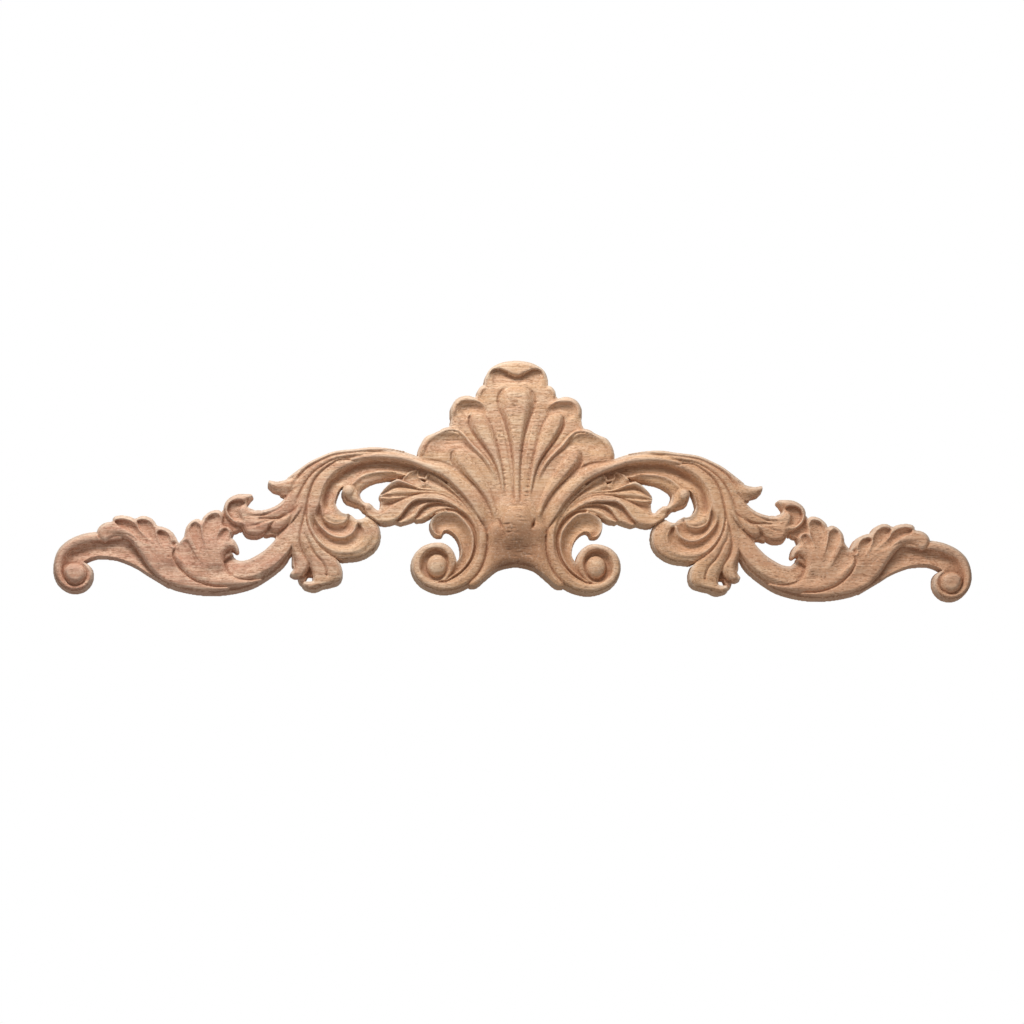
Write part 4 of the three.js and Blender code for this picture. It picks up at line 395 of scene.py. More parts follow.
# Acanthus leaf
ground(
    [[-24, -11], [-30, -6], [-36, 1], [-42.5, 3.4], [-49, 6], [-48, 1], [-51, 0.4], [-53, -1.4],
     [-58.6, -7], [-58.8, -12], [-60.2, -14.4], [-65, -12.8], [-62, -17.8], [-54, -18.2], [-44, -17.6],
     [-38, -16.8], [-30, -14], [-22, -17]],
    5)
# Joint of the sweeping band and the petals
ground(
    [[-16, -26], [-15, -16], [-21, -7], [-29, 1], [-38, 4], [-36, 0], [-28, -7], [-22, -13],
     [-18.4, -20]],
    6)
# Scroll
ground(
    [[-20, -12], [-31, -13], [-31, -14.6], [-26, -15.5], [-22, -19], [-19.6, -23], [-18.6, -29],
     [-20, -35], [-23.7, -40], [-28, -43.2], [-34, -45.2], [-34, -47.4], [-27, -47], [-20, -44.4],
     [-15.5, -36], [-14, -28], [-15, -20]],
    6)
# Joint of the hook leaf and the large leaf
ground(
    [[-127.6, -15], [-128.2, -19], [-126.4, -22.6], [-123.6, -24.2], [-121.6, -23.8], [-119.6, -23],
     [-121, -19], [-125, -15]],
    6)
# Joint of the hook leaf and the stem
ground(
    [[-97, -18], [-101.5, -21.6], [-104, -22.6], [-107.6, -21.6], [-109.6, -23.6], [-109.4, -25.6],
     [-106.4, -25], [-104.4, -25.8], [-104.6, -27.6], [-102.5, -28.4], [-97, -26]],
    6)
# Joint of the curl ball and the leaf
ground(
    [[-70, -9.6], [-67.8, -10], [-66.5, -11.2], [-64, -11.4], [-64, -14.6], [-66, -14.6], [-68, -12.9],
     [-70.4, -12]],
    5.6)
# Recess in the fan
ground([[-91, -37.6], [-89, -38.4], [-87.6, -42.6], [-89.4, -43], [-91.4, -42.6]], 3.4)
# Joint of the fan's hook
ground([[-91.2, -43], [-92, -45.6], [-92.2, -47], [-93.6, -46.4], [-94.2, -43.4]], 4.6)
# Curls
ground(
    [[-84.6, -10], [-79.4, -11.5], [-78.4, -13.6], [-77, -15.2], [-75.2, -16.3], [-72.3, -16.5],
     [-70.6, -18], [-69, -18.8], [-66.6, -18.2], [-64, -19.8], [-60.4, -24], [-62, -31.5], [-70, -35],
     [-80, -34], [-86, -28], [-90, -18]],
    6.2)
# Strands
ground(
    [[-99.5, -1.4], [-92, 4.6], [-78, 10], [-64, 11], [-50, 8], [-64, 8], [-74, 4.6], [-80, 3],
     [-84, -6], [-83, -18], [-88, -24], [-91, -36], [-96.6, -40], [-97.4, -30], [-104, -24],
     [-107, -21.6], [-113, -25.6], [-118, -23.6], [-121.6, -20], [-124, -13], [-116, -15.6], [-108, -15],
     [-100.4, -9], [-103, -6.8]],
    6.4)
# Stem and leaves
ground(
    [[-97, -21.4], [-103.5, -28], [-117, -37.6], [-123.6, -34], [-124, -28], [-125, -22], [-128, -18],
     [-133, -16.8], [-136.6, -20.6], [-143, -27.4], [-146.6, -31.4], [-148.4, -28], [-154, -24.4],
     [-158, -20.6], [-164, -19.4], [-172, -20], [-178, -23], [-177, -28], [-166, -30], [-160, -38],
     [-150, -47.6], [-140, -50], [-125, -49.6], [-112, -46], [-100, -35.6], [-95, -30]],
    6.4)
# Edge of the tail
ground([[-194, -38], [-198.6, -40], [-198.6, -45], [-195.4, -48.6], [-193, -44]], 5.4)
# Knob of the tail
ground(
    [[-197, -42], [-196, -47.6], [-191, -50], [-186.6, -49], [-184.4, -45], [-184.8, -41],
     [-187.6, -38.8], [-192, -38.4]],
    5)
# Tail
ground(
    [[-148, -47], [-160, -38], [-172, -30], [-184, -30], [-194, -34], [-197, -42], [-190, -48],
     [-185.6, -44], [-190, -39], [-184, -36], [-170, -37], [-156, -44.5]],
    5.4)

measured("the ground")

# %% [markdown]
# The shell opens upwards like a fan: a dished field, three lobes a side whose rims roll
# over a hollow cove, and rounded tongues that run down to the knot with flat bands
# between them. The strips cross the middle where the lobe does, and their mirror image
# completes them.

# %% Shell
# Field of the shell
plate(
    [[0, 52.6], [-4.3, 52.2], [-7.7, 51.2], [-11.6, 48.2], [-13.3, 44.6], [-13.6, 42], [-15.5, 41.2],
     [-16.9, 38.6], [-17, 36.2], [-21.6, 36.8], [-25.9, 35.5], [-28.3, 32], [-28.3, 27], [-29.3, 23],
     [-33, 21.4], [-37.3, 19.4], [-41, 16.3], [-42.6, 12], [-42.6, 8], [-30, -1], [-20, -12], [-13, -24],
     [0, -20], [13, -24], [20, -12], [30, -1], [42.6, 8], [42.6, 12], [41, 16.3], [37.3, 19.4],
     [33, 21.4], [29.3, 23], [28.3, 27], [28.3, 32], [25.9, 35.5], [21.6, 36.8], [17, 36.2],
     [16.9, 38.6], [15.5, 41.2], [13.6, 42], [13.3, 44.6], [11.6, 48.2], [7.7, 51.2], [4.3, 52.2]],
    7.6, 8.8, 7)
# Rise of the shell towards the knot
swell([0, -8], 34, 46, 0.7)
# Cove of the left lobe
ribbon(
    [[-14.4, 10], [-18.5, 14.4], [-23.6, 19], [-28.9, 20.8], [-33.5, 19.8], [-37.5, 16.5], [-39.5, 12]],
    [[-14, 7], [-18, 9.4], [-22, 11.4], [-25.5, 12.6], [-28.5, 11.6], [-31, 9.6], [-34, 7.6]],
    [[0, 1], [0.16, 0.35], [0.45, 0, 1], [1, 0.8, 1]], [8.6, 7.8, 7.5, 7.6], [1, 1.6, 1.9, 0.9],
    [0.3, 0.25, 0, 0.3])
# Lip of the left lobe
ribbon(
    [[-27.6, 24.4], [-29.4, 22.9], [-32.3, 22.1], [-35, 20], [-39.4, 18.5], [-41.6, 15.5], [-42.6, 12.5],
     [-42.9, 9.4]],
    [[-22.6, 19.6], [-25.6, 20.8], [-28.9, 21], [-32, 20.4], [-36, 17.8], [-38.8, 15], [-40, 12.5],
     [-41, 8.8]],
    [[0, 0.1], [0.55, 1, 1], [1, 0.75]], [7.6, 7.5], [1.6, 2.2, 1.8, 1.4], [0.15, 0.1, 0, 0])
# Fold between the lobes
ribbon(
    [[-28.6, 23], [-25, 22], [-22, 19.6], [-19, 16], [-15.6, 12.4], [-12.6, 9], [-9.8, 4.6], [-8, -1]],
    [[-29, 21], [-26, 20], [-23.6, 17.6], [-20.9, 13.8], [-17.4, 10.2], [-14.2, 6.6], [-11.4, 1.6],
     [-9.4, -4]],
    [[0, 0, 1], [0.45, 1, 1], [1, 0, 1]], [8, 8.4, 8.8, 9.4], [1.2, 1.8, 1.8, 0.6], [0.15, 0.2, 0, 0])
# Cove of the middle lobe
ribbon(
    [[-11.6, 30.4], [-15.4, 33.1], [-19.9, 34.2], [-23.6, 34], [-25.9, 32], [-26.2, 27.5]],
    [[-12, 27], [-15, 28.6], [-18, 29.4], [-20.5, 28.6], [-21.4, 27], [-22, 24.4]],
    [[0, 1], [0.2, 0.25], [0.5, 0, 1], [1, 0.5, 1]], [8, 7.3, 7.3, 7.6], [0.9, 1.6, 1.8, 1],
    [0.25, 0.2, 0, 0.15])
# Lip of the middle lobe
ribbon(
    [[-14.6, 35], [-18.5, 36.1], [-21.6, 37], [-25.9, 35.7], [-28.2, 32.5], [-28.6, 29.5], [-28.1, 26.5]],
    [[-12.6, 31.8], [-17.8, 34], [-20.3, 34.1], [-23.6, 34], [-25.9, 32], [-26.5, 29.5], [-26.2, 27.5]],
    [[0, 0], [0.6, 1, 1], [1, 0.6]], [7.6], [1.8, 2.4, 1.6], [0.2, 0.15, 0, 0])
# Cove of the top lobe
ribbon(
    [[-10.9, 42], [-10.7, 46], [-10.2, 48.4], [-7.8, 49.1], [-4.8, 47.9], [-2.5, 46.5], [0, 45.9],
     [2.5, 46.5]],
    [[-10.4, 38], [-9.4, 39.6], [-7.4, 40.9], [-5, 41.6], [-2.6, 42], [-1, 42.1], [0, 42.1], [2.6, 42]],
    [[0, 0.3], [0.3, 0, 1], [1, 0.9, 1]], [7.6, 7.3, 7.1, 7.3], [0.8, 1, 1.1, 1], [0.25, 0, 0, 0.2])
# Lip of the top lobe
ribbon(
    [[-13.7, 41.6], [-13.4, 45.5], [-11.8, 48.7], [-7.7, 51.6], [-4.3, 52.6], [0, 53], [4.3, 52.6]],
    [[-12, 41.4], [-11.8, 45], [-10.9, 48.3], [-7.8, 49.1], [-4.6, 47.8], [0, 45.9], [4.6, 47.8]],
    [[0, 0], [0.35, 0.9, 1], [0.85, 1, 1], [1, 0.5]], [7.6, 7.4], [1, 2, 2.4, 2], [0.3, 0, 0, 0])
# Step of the rim
ribbon(
    [[-12.6, 42], [-15.1, 41.6], [-16.8, 39.5], [-17.1, 37.8], [-17, 35.8]],
    [[-12, 40], [-13.8, 39.4], [-15, 38.4], [-15.4, 37], [-14.6, 35.4]],
    [[0, 0], [0.55, 1, 1], [1, 0.5]], [7.6], [1.2], [0.3, 0.3, 0, 0.2])
# Outer tongue
ribbon(
    [[-27, 13.2], [-29, 10.6], [-28.4, 6.6], [-23.8, 0.6], [-19.5, -3.8], [-14.8, -9], [-12, -14],
     [-10.2, -19.4]],
    [[-24.6, 14], [-21.4, 12], [-18, 8], [-15, 3.2], [-12.4, -1.8], [-10.4, -7], [-9, -12], [-8.2, -17]],
    [[0, 0, 1], [0.4, 1, 1], [0.6, 0.95, 1], [1, 0.3, 1]], [7.6, 7.8, 8.2, 8.7, 9.1],
    [2, 3.2, 3, 2.2, 1], [0.12, 0.1, 0, 0.15])
# Inner tongue
ribbon(
    [[-18.8, 29.9], [-21, 27.6], [-21, 23.4], [-17.4, 17], [-13.6, 12], [-10.4, 7.2], [-8.2, 1.4],
     [-6.9, -5], [-6, -10]],
    [[-17.2, 30], [-14, 28.8], [-11.5, 25.4], [-9.9, 21], [-8.2, 14.4], [-6.9, 8], [-5.8, 2], [-5.2, -4],
     [-4.9, -9]],
    [[0, 0, 1], [0.32, 0.95, 1], [0.55, 1, 1], [0.85, 0.7], [1, 0.2]], [7.4, 7.6, 8, 8.6, 9],
    [2.4, 3.2, 3, 2.2, 1], [0.1, 0.15, 0, 0])
# Flat between the tongues
ribbon(
    [[-11.2, 34], [-10.4, 28], [-9.5, 22], [-7.9, 14], [-6.6, 8], [-5.5, 2], [-5, -4], [-4.8, -11.4]],
    [[-9, 37.6], [-8.4, 33], [-7.2, 27], [-5.9, 22], [-4.2, 14], [-3.2, 8], [-2.5, 2], [-2, -4],
     [-1.8, -11.6]],
    [[0, 0.2], [0.2, 0.9, 1], [0.8, 1, 1], [1, 0.2]], [8.2, 8.5, 8.8, 9.2], [0.9, 1.1, 1, 0.6],
    [0.25, 0.12, 0, 0])
# Middle tongue
ribbon(
    [[-2.6, 41.6], [-6.6, 40], [-8.7, 36], [-8, 31.4], [-5.7, 25.4], [-3.8, 18.5], [-2.5, 11.5],
     [-1.8, 2], [-1.6, -5], [-1.6, -12.4]],
    [[2.6, 41.6], [6.6, 40], [8.7, 36], [8, 31.4], [5.7, 25.4], [3.8, 18.5], [2.5, 11.5], [1.8, 2],
     [1.6, -5], [1.6, -12.4]],
    [[0, 0, 1], [0.14, 0.45], [0.34, 0.93, 1], [0.66, 0.93, 1], [0.86, 0.45], [1, 0, 1]],
    [8, 8, 8.2, 8.6, 9, 9.2], [3, 3.6, 3.2, 2.4, 1.6, 1.2], [0.13, 0.06, 0, 0])

measured("shell")

# %% [markdown]
# From the shell a sweeping band runs out and bends down. Under it lies a hollow channel,
# and on its back a bundle of strands that fans out at its foot into three long lobes.

# %% Arch
# Sweeping band
ribbon(
    [[-72, 7], [-64, 8.3], [-56, 8.2], [-49.1, 7.2], [-40, 3.8], [-33, 0.5], [-27.5, -4], [-22.5, -9.5],
     [-19, -14.8], [-17, -20], [-15.6, -26]],
    [[-74, 9], [-66, 11.2], [-57, 12.4], [-49.1, 11.4], [-41, 8.8], [-31, 7], [-24, 2.4], [-17.4, -4],
     [-13.4, -10.5], [-11.8, -17], [-12.4, -25]],
    [[0, 0.3], [0.16, 0.95, 1], [0.36, 1, 1], [1, 0, 1]], [8, 7.8, 8, 8.2, 9, 9.4],
    [1.6, 2.4, 2.6, 2.4, 2, 0.6], [0.1, 0.12, 0, 0])
# Arch channel
ribbon(
    [[-30, -1.6], [-36, 1.9], [-42, 4.6], [-49.1, 7.2], [-56, 8.1], [-64.5, 8.1], [-71, 6.4],
     [-78.2, 2.5], [-82.6, -2.4], [-85, -9.9], [-84.6, -14.3], [-83.4, -18.6]],
    [[-31, -3], [-38, -0.6], [-44, 0.8], [-49.1, 1.5], [-55, 2.9], [-62, 2.5], [-67, 1], [-72.7, -3.2],
     [-76.6, -4.4], [-79, -9.4], [-79, -13], [-76.6, -17]],
    [[0, 1], [0.08, 0.7], [0.38, 0, 1], [0.8, 0.25, 1], [1, 0.7]], [6.4, 5.6, 5.2, 5, 5, 5.2, 5.6],
    [1.6, 3, 3.6, 4.2, 4.2, 3.6, 3])
# Strand on the arch
ribbon(
    [[-49, 11.6], [-56.8, 12.9], [-64, 13.2], [-70, 12.4], [-80, 11.1], [-86.7, 8.3], [-90, 6.6],
     [-94.1, 3.7], [-97.4, 1.2], [-100, -0.9]],
    [[-50, 10.6], [-56, 11.2], [-64, 11.5], [-70, 10.9], [-80, 9.6], [-84, 8], [-88.2, 5.9], [-92, 3.4],
     [-94.9, 0.1], [-98, -3.6]],
    ROLL, [8.4, 7.8, 7.4], [1, 1.6, 2], [0.3, 0, 0, 0])
# Second strand
ribbon(
    [[-58, 11.2], [-64, 11.5], [-70, 10.9], [-80, 9.6], [-84, 8], [-88.2, 5.9], [-92, 3.4], [-94.9, 0.1],
     [-97.4, -3], [-100, -8.2]],
    [[-60, 9.4], [-66, 9.4], [-71, 9.1], [-77.7, 8.1], [-81.5, 6.7], [-85.6, 4.1], [-89.2, 1.2],
     [-91.8, -2.2], [-95.4, -9], [-99.6, -20.6]],
    STRAND, [8.2, 8, 7.8, 7.4], [1.6, 2, 1.8, 1.4], [0.25, 0, 0, 0])
# Foot of the first fan lobe
plate(
    [[-95, -37.4], [-96.3, -40], [-97.2, -41.7], [-97.9, -42.7], [-96.8, -43.5], [-95.1, -43.7],
     [-93.4, -43.5], [-91.9, -42.4], [-91.1, -40.9], [-90.6, -38.6], [-92.6, -36.6]],
    6.8, 7.8, 1.2)
# Foot of the fan
plate(
    [[-86, -40.6], [-88, -43.4], [-88.3, -45.8], [-90.2, -46.3], [-92.2, -46.3], [-92.7, -47.1],
     [-91.9, -48.4], [-90.2, -49.1], [-87.9, -49.5], [-86.2, -49.1], [-84.4, -48.2], [-82.1, -47.7],
     [-79.8, -47.1], [-77.8, -46.4], [-76.6, -45.1], [-76.3, -42.4], [-79, -40]],
    6.8, 7.8, 1.2)
# Strand to the first fan lobe
ribbon(
    [[-71, 9.1], [-77.7, 8.1], [-81.5, 6.7], [-85.6, 4.1], [-89.2, 1.2], [-91.8, -2.2], [-94.1, -6.4],
     [-97.4, -15.6], [-98.8, -22], [-98.6, -28], [-97.3, -33.8], [-95.9, -38], [-96.6, -41],
     [-97.4, -42.8]],
    [[-72, 8], [-78, 7.4], [-80.6, 5.8], [-83.6, 3.7], [-87.2, 0.1], [-89.2, -3.6], [-90.6, -8.6],
     [-92, -16], [-93.6, -22], [-94.4, -27.6], [-93.4, -33], [-90.3, -38], [-91.1, -41], [-93, -43.5]],
    STRAND, [8, 8, 7.6, 7, 6.4], [1.4, 1.8, 2, 2, 1.8], [0.12, 0, 0, 0])
# Strand to the second fan lobe
ribbon(
    [[-70, 8], [-78, 7.4], [-80.6, 5.8], [-83.6, 3.7], [-87.2, 0.1], [-89.2, -3.6], [-90.6, -8.6],
     [-92, -16], [-93.6, -22], [-94.4, -28], [-91.8, -35.4], [-89.4, -39.4], [-88.2, -43],
     [-88.4, -46.2], [-92.4, -46.6]],
    [[-70, 7.4], [-76, 5.9], [-79.4, 3.8], [-82.4, 1], [-85, -3], [-86.8, -8], [-88, -13], [-90, -19],
     [-91.4, -25], [-89.6, -31], [-87, -34.9], [-84.7, -37.3], [-82.6, -41], [-82.8, -44.6],
     [-90.2, -48.4]],
    [[0, 0.1], [0.4, 0.85, 1], [1, 1, 1]], [8, 7.8, 7.4, 7, 6.6], [1.4, 1.8, 2, 2, 1.6], [0.15, 0, 0, 0])
# Strand to the third fan lobe
ribbon(
    [[-70, 7.4], [-76, 5.9], [-79.4, 3.8], [-82.4, 1], [-85, -3], [-86.8, -8], [-88, -13], [-90, -19],
     [-91.4, -25], [-89.6, -31], [-87, -34.9], [-84.7, -37.3], [-82.6, -41], [-82.8, -44.6],
     [-90.2, -48.4]],
    [[-70, 6.8], [-74.1, 4.9], [-78.2, 2.5], [-81.5, -0.9], [-83.9, -4.9], [-85.2, -9.9], [-86.4, -15],
     [-88.2, -20], [-88, -25], [-86.4, -28.4], [-84, -31.8], [-79.4, -35.4], [-76.6, -38.6],
     [-76.6, -45], [-90.2, -49.1]],
    [[0, 1, 1], [0.6, 1, 1], [1, 0.2]], [8, 7.8, 7.4, 7, 6.6], [1.4, 1.8, 2, 2, 1.6], [0.15, 0, 0, 0])
# Vein of the fan
vein(
    [[-93.2, -20], [-92.2, -25.6], [-90.5, -28.5], [-89, -31.8], [-87, -34.9], [-84.7, -37.3],
     [-82.9, -40.4], [-82.3, -43.6]],
    0.9, [0, 0.9, 1.1, 0.7])
# Floor of the arch
ribbon(
    [[-72.4, -3.6], [-70.6, -1.6], [-67, 1.2], [-60.1, 2.9], [-54, 2.4], [-49.1, 1.5]],
    [[-69, -7], [-68.2, -5], [-66, -3], [-60, -0.8], [-56.6, 0], [-52.4, 0]],
    [[0, 1], [0.14, 0.9], [0.6, 0.4, 1], [1, 0]], [6, 5.6, 5], [2, 2.4, 2], [0.12, 0, 0, 0])
# Stalk of the curl ball
ribbon(
    [[-70.8, -3], [-69, -6], [-68, -9], [-65.6, -11.4]],
    [[-75.8, -7.4], [-74.2, -10.2], [-70.8, -11.6], [-66.2, -13.6]],
    ROUND, [6.6, 6.2], [2.6, 1.4])
# Curl ball
dome([-73.3, -6.2], 2.5, 2.8, 7.6, 2.6)

measured("arch")

# %% [markdown]
# Three curls lie inside one another below the arch, each a hollow with a raised lip, and
# each starts as a thin strand beside the channel.

# %% Nested curls
# Outer curl
ribbon(
    [[-90.4, -13], [-90, -19], [-88.4, -24], [-85.6, -28], [-82, -30.8], [-77, -32.2], [-72, -32],
     [-68.6, -30.4], [-66, -27.3], [-65.8, -24.2], [-66.9, -21.7], [-68.4, -20.8], [-70.4, -19.2]],
    [[-91.6, -14], [-91.6, -19], [-89.6, -25], [-86.4, -30], [-82.7, -33.4], [-77, -36.2], [-73, -36],
     [-68.3, -35.3], [-63.6, -32.9], [-60.2, -28.8], [-59.6, -23.4], [-61.2, -19.4], [-65, -17.2],
     [-68.6, -18.3]],
    [[0, 0.8], [0.3, 1, 1], [0.75, 0.6, 1], [1, 0]], [7, 6.8, 6.2, 6], [2.2, 2.4, 2.4, 2])
# Second curl
ribbon(
    [[-88, -13], [-87.6, -18], [-85.4, -21.6], [-82.1, -24.7], [-79.8, -26], [-77.5, -26.6],
     [-75.5, -26.6], [-73.5, -25.9], [-71.7, -24.7], [-70.4, -22.6], [-69.6, -20.4]],
    [[-90.4, -13], [-90, -19], [-88.4, -24], [-85.6, -28], [-82, -30.8], [-77, -32.2], [-72, -32],
     [-68.6, -30.4], [-66, -27.3], [-65.7, -24.2], [-67.4, -21]],
    CURL, [6.8, 6.2, 6], [1.6, 2.6, 2.8], [0.25, 0, 0, 0])
# Inner curl
ribbon(
    [[-85.2, -11], [-84.6, -15], [-83.6, -18.4], [-82, -19.8], [-79.8, -20.5], [-77.5, -20.5],
     [-75.5, -19.9], [-73.9, -18]],
    [[-88, -13], [-87.6, -18], [-85.4, -21.6], [-82.1, -24.7], [-79.8, -26], [-77.5, -26.6],
     [-75.5, -26.6], [-73.5, -25.9], [-71.7, -24.7], [-70.4, -22.6], [-70, -20.4]],
    CURL, [6.8, 6, 5.8], [1.6, 2.8, 3], [0.25, 0, 0, 0])
# Lip of the channel
ribbon(
    [[-85, -12], [-84.4, -15.6], [-83.4, -18.4], [-81.8, -19.7], [-79.8, -20.4], [-77.5, -20.4],
     [-75.5, -19.8], [-73.4, -17.4]],
    [[-79.2, -11], [-79, -12.6], [-78.2, -13.8], [-77.4, -14.8], [-76.6, -15.5], [-75.6, -16.1],
     [-74.4, -16.4], [-72.6, -16.5]],
    [[0, 0.7], [0.3, 1, 1], [0.7, 0.55, 1], [1, 0.8]], [6, 6.4], [2, 2.4, 2], [0.35, 0, 0, 0])

measured("curls")

# %% [markdown]
# The leaf inside the arch grows out of the knot. Its lobes are laid from the back to the
# front, so that each one overlaps its neighbour as the carver cut them.

# %% Acanthus leaf
# Body of the leaf tip
plate(
    [[-44, -3.6], [-48, -1.6], [-52.2, -1.1], [-55, -2.5], [-57.4, -4.9], [-59.2, -7], [-59.5, -8.4],
     [-58.6, -9.4], [-58.9, -10.8], [-58.8, -12.6], [-60, -15.4], [-54, -15], [-46, -9], [-42, -6]],
    6, 7, 2.5)
# Body of the tall petal
plate(
    [[-49.4, -1.2], [-48.8, 0.2], [-47.8, 2.2], [-45.6, 3.4], [-43.4, 4], [-42.8, 2], [-42.5, 0.2],
     [-40.8, -1.2], [-38, -2.2], [-38, -5], [-45, -4.4]],
    6.4, 6.6, 2)
# Tall petal
ribbon(
    [[-49.2, -1.4], [-48.7, 0.4], [-47.7, 2.2], [-45.6, 3.4], [-43.4, 4]],
    [[-42, -4.6], [-39.6, -2.4], [-41.2, -1.1], [-42.6, 0.4], [-42.9, 3.4]],
    [[0, 1], [0.12, 0.5], [0.45, 0, 1], [0.85, 0.6], [1, 1]], [6.2, 5.8], [1.8, 2.4], [0.3, 0, 0, 0])
# Second petal
ribbon(
    [[-38.4, -3.4], [-38.6, -1], [-39.7, 0.2], [-39.3, 1.8], [-37.7, 2.9]],
    [[-34.4, -4], [-35.4, -1.4], [-36.6, -0.2], [-36.8, 0.9], [-36.8, 1.9]],
    [[0, 1], [0.2, 0.4], [0.6, 0, 1], [1, 0.6]], [6.4], [1.6, 2.2], [0.3, 0, 0, 0])
# Stem of the petals
ribbon(
    [[-37.4, 2.6], [-34, 0.5], [-31, -2], [-28, -4.9], [-25, -8], [-21.6, -12.2], [-18.8, -17],
     [-17.4, -22]],
    [[-40.6, -2.6], [-38, -4.4], [-34, -5.8], [-31, -6.8], [-27.4, -8.8], [-23.6, -12.2], [-20.6, -16.6],
     [-18.2, -22.4]],
    [[0, 0.5], [0.12, 1], [0.4, 0.1, 1], [0.75, 0.7, 1], [1, 0.3]], [6, 6.2, 7, 8, 8.4],
    [1.8, 2, 1.9, 1.2, 0.6], [0, 0, 0, 0.1])
# Upper leaf lobe
ribbon(
    [[-22.6, -12.8], [-27, -8.6], [-31.4, -6.3], [-36.5, -4.9], [-42.4, -4.2], [-45.6, -2.9],
     [-48.6, -1.7], [-52.2, -1], [-55, -2.4], [-57.4, -4.8], [-59.3, -7]],
    [[-22.6, -13.6], [-27, -9.8], [-31.4, -7.4], [-36, -6.5], [-40, -6.5], [-44.5, -7.2], [-49.5, -7.8],
     [-53, -8], [-55.6, -8.1], [-57.6, -8.2], [-59.5, -8.3]],
    [[0, 0.9], [0.1, 1], [0.34, 0, 1], [0.72, 0.8, 1], [1, 0.3]], [8, 7.2, 6.4, 6, 6],
    [0.6, 1, 1.8, 2.6, 2])
# Bud of the leaf
ribbon(
    [[-46, -7.4], [-50, -7.9], [-54, -8.2], [-57, -8.3], [-59.4, -8.4]],
    [[-46, -7.8], [-50, -9], [-53, -9.9], [-56, -10.2], [-58.7, -9.6]],
    [[0, 0.3], [0.5, 1, 1], [1, 0.1]], [6.2], [0.6, 1.6, 1.6])
# Hollow under the bud
ribbon(
    [[-47, -8.2], [-50, -9.2], [-53, -10.1], [-56, -10.4], [-58.8, -10.7]],
    [[-48, -8.8], [-51, -10.2], [-54, -11.8], [-56.8, -13.4], [-59.4, -15]],
    [[0, 0.5], [0.45, 0, 1], [1, 0.6]], [6, 5.8], [0.8, 1.6])
# Lowest leaf lobe
ribbon(
    [[-20.6, -17.4], [-26, -13.2], [-31, -11.5], [-36, -11.1], [-39.4, -12.1], [-42, -14.4],
     [-44.4, -17.8]],
    [[-20.2, -18.6], [-25.4, -15], [-30, -13.6], [-34, -14.4], [-37, -15.9], [-40.4, -18],
     [-43.4, -18.5]],
    [[0, 0], [0.5, 0.4], [0.85, 1, 1], [1, 0.7]], [8, 7, 6, 5.6, 5.8], [0.4, 1.2, 2.2, 2.4, 2.2])
# Third leaf lobe
ribbon(
    [[-22, -15], [-28, -11.4], [-33, -10.1], [-38, -9.7], [-42, -9.8], [-45, -10.6], [-47.6, -13.2],
     [-49.8, -16.2], [-52.9, -19]],
    [[-22, -16.4], [-27.3, -12.6], [-31, -11.4], [-36, -11], [-39.3, -12], [-41.8, -14.1], [-44, -17.4],
     [-46.4, -18.6], [-50.4, -19.8]],
    [[0, 0], [0.5, 0.4], [0.85, 1, 1], [1, 0.75]], [8, 7, 6, 5.6, 5.8], [0.4, 1.2, 2, 2.4, 2.2])
# Middle leaf lobe
ribbon(
    [[-20.6, -16], [-24, -12.6], [-28, -9.8], [-32.5, -7.5], [-36, -6.7], [-40, -6.7], [-44, -7.4],
     [-48.2, -8.8], [-52.3, -10.6], [-55.7, -12.6], [-59, -15], [-61.6, -13.8], [-63.6, -11.8],
     [-65.8, -11.1]],
    [[-20.6, -17.4], [-24, -14.6], [-28, -12], [-32, -10.3], [-36, -9.7], [-40, -9.6], [-43.6, -9.9],
     [-46.4, -11.6], [-49, -15], [-51.6, -18.2], [-55.6, -19.8], [-60, -19.6], [-64, -17.2],
     [-66.2, -13.4]],
    [[0, 0.1], [0.16, 0.75], [0.55, 0.85, 1], [0.88, 1, 1], [1, 0.7]], [8.2, 7.4, 6.6, 6, 5.8],
    [0.6, 1.6, 2.4, 2.6, 2.2])
# Curl at the tip of the leaf
swell([-64.6, -12.8], 2.4, 2.2, 1)
# Line under the sweeping band
vein(
    [[-48, 6.4], [-44, 5.2], [-40, 3.6], [-36, 1.8], [-33, 0.4], [-30, -1.7], [-27.5, -4.1], [-25, -6.7],
     [-22.5, -9.7], [-20.5, -12.3], [-19, -14.9], [-18, -17.4], [-17, -21]],
    1, [0.2, 0.8, 1, 0.9, 0.4])

measured("leaf")

# %% [markdown]
# The knot is the highest point: a block with a crowned front that everything springs
# from, and two legs that run down to the scrolls.

# %% Knot and legs
# Knot and legs
plate(
    [[0, -12.2], [-4, -12.6], [-5.8, -15], [-7.6, -18.6], [-12.3, -20.8], [-12.5, -27], [-13, -33.1],
     [-14.7, -38.9], [-16.8, -42.6], [-20.6, -47], [-18, -47.2], [-14.1, -44.1], [-9.1, -39.9],
     [-4, -37.2], [0, -36.8], [4, -37.2], [9.1, -39.9], [14.1, -44.1], [18, -47.2], [20.6, -47],
     [16.8, -42.6], [14.7, -38.9], [13, -33.1], [12.5, -27], [12.3, -20.8], [7.6, -18.6], [5.8, -15],
     [4, -12.6]],
    9, 10.2, 3)
# Crown of the knot
swell([0, -19.4], 13, 15, 4.03)
# Nose of the knot
swell([0, -17.6], 7.6, 6.6, 0.5)
# Left shoulder
swell([-10, -24.4], 4, 6.4, 0.8)
# Right shoulder
swell([10, -24.4], 4, 6.4, 0.8)
# Fall below the knot
swell([0, -38.6], 13, 13, -2.2)
# Stop cut beside the knot
vein([[-7.9, -18.4], [-7, -20.8], [-6.4, -22.8]], 0.9, [0.3, 1.9, 0.3])

measured("knot")

# %% [markdown]
# One long fillet starts beside the shell, runs down round the scroll and on into its
# volute with a bead in the middle. A hollow leaf lies inside it.

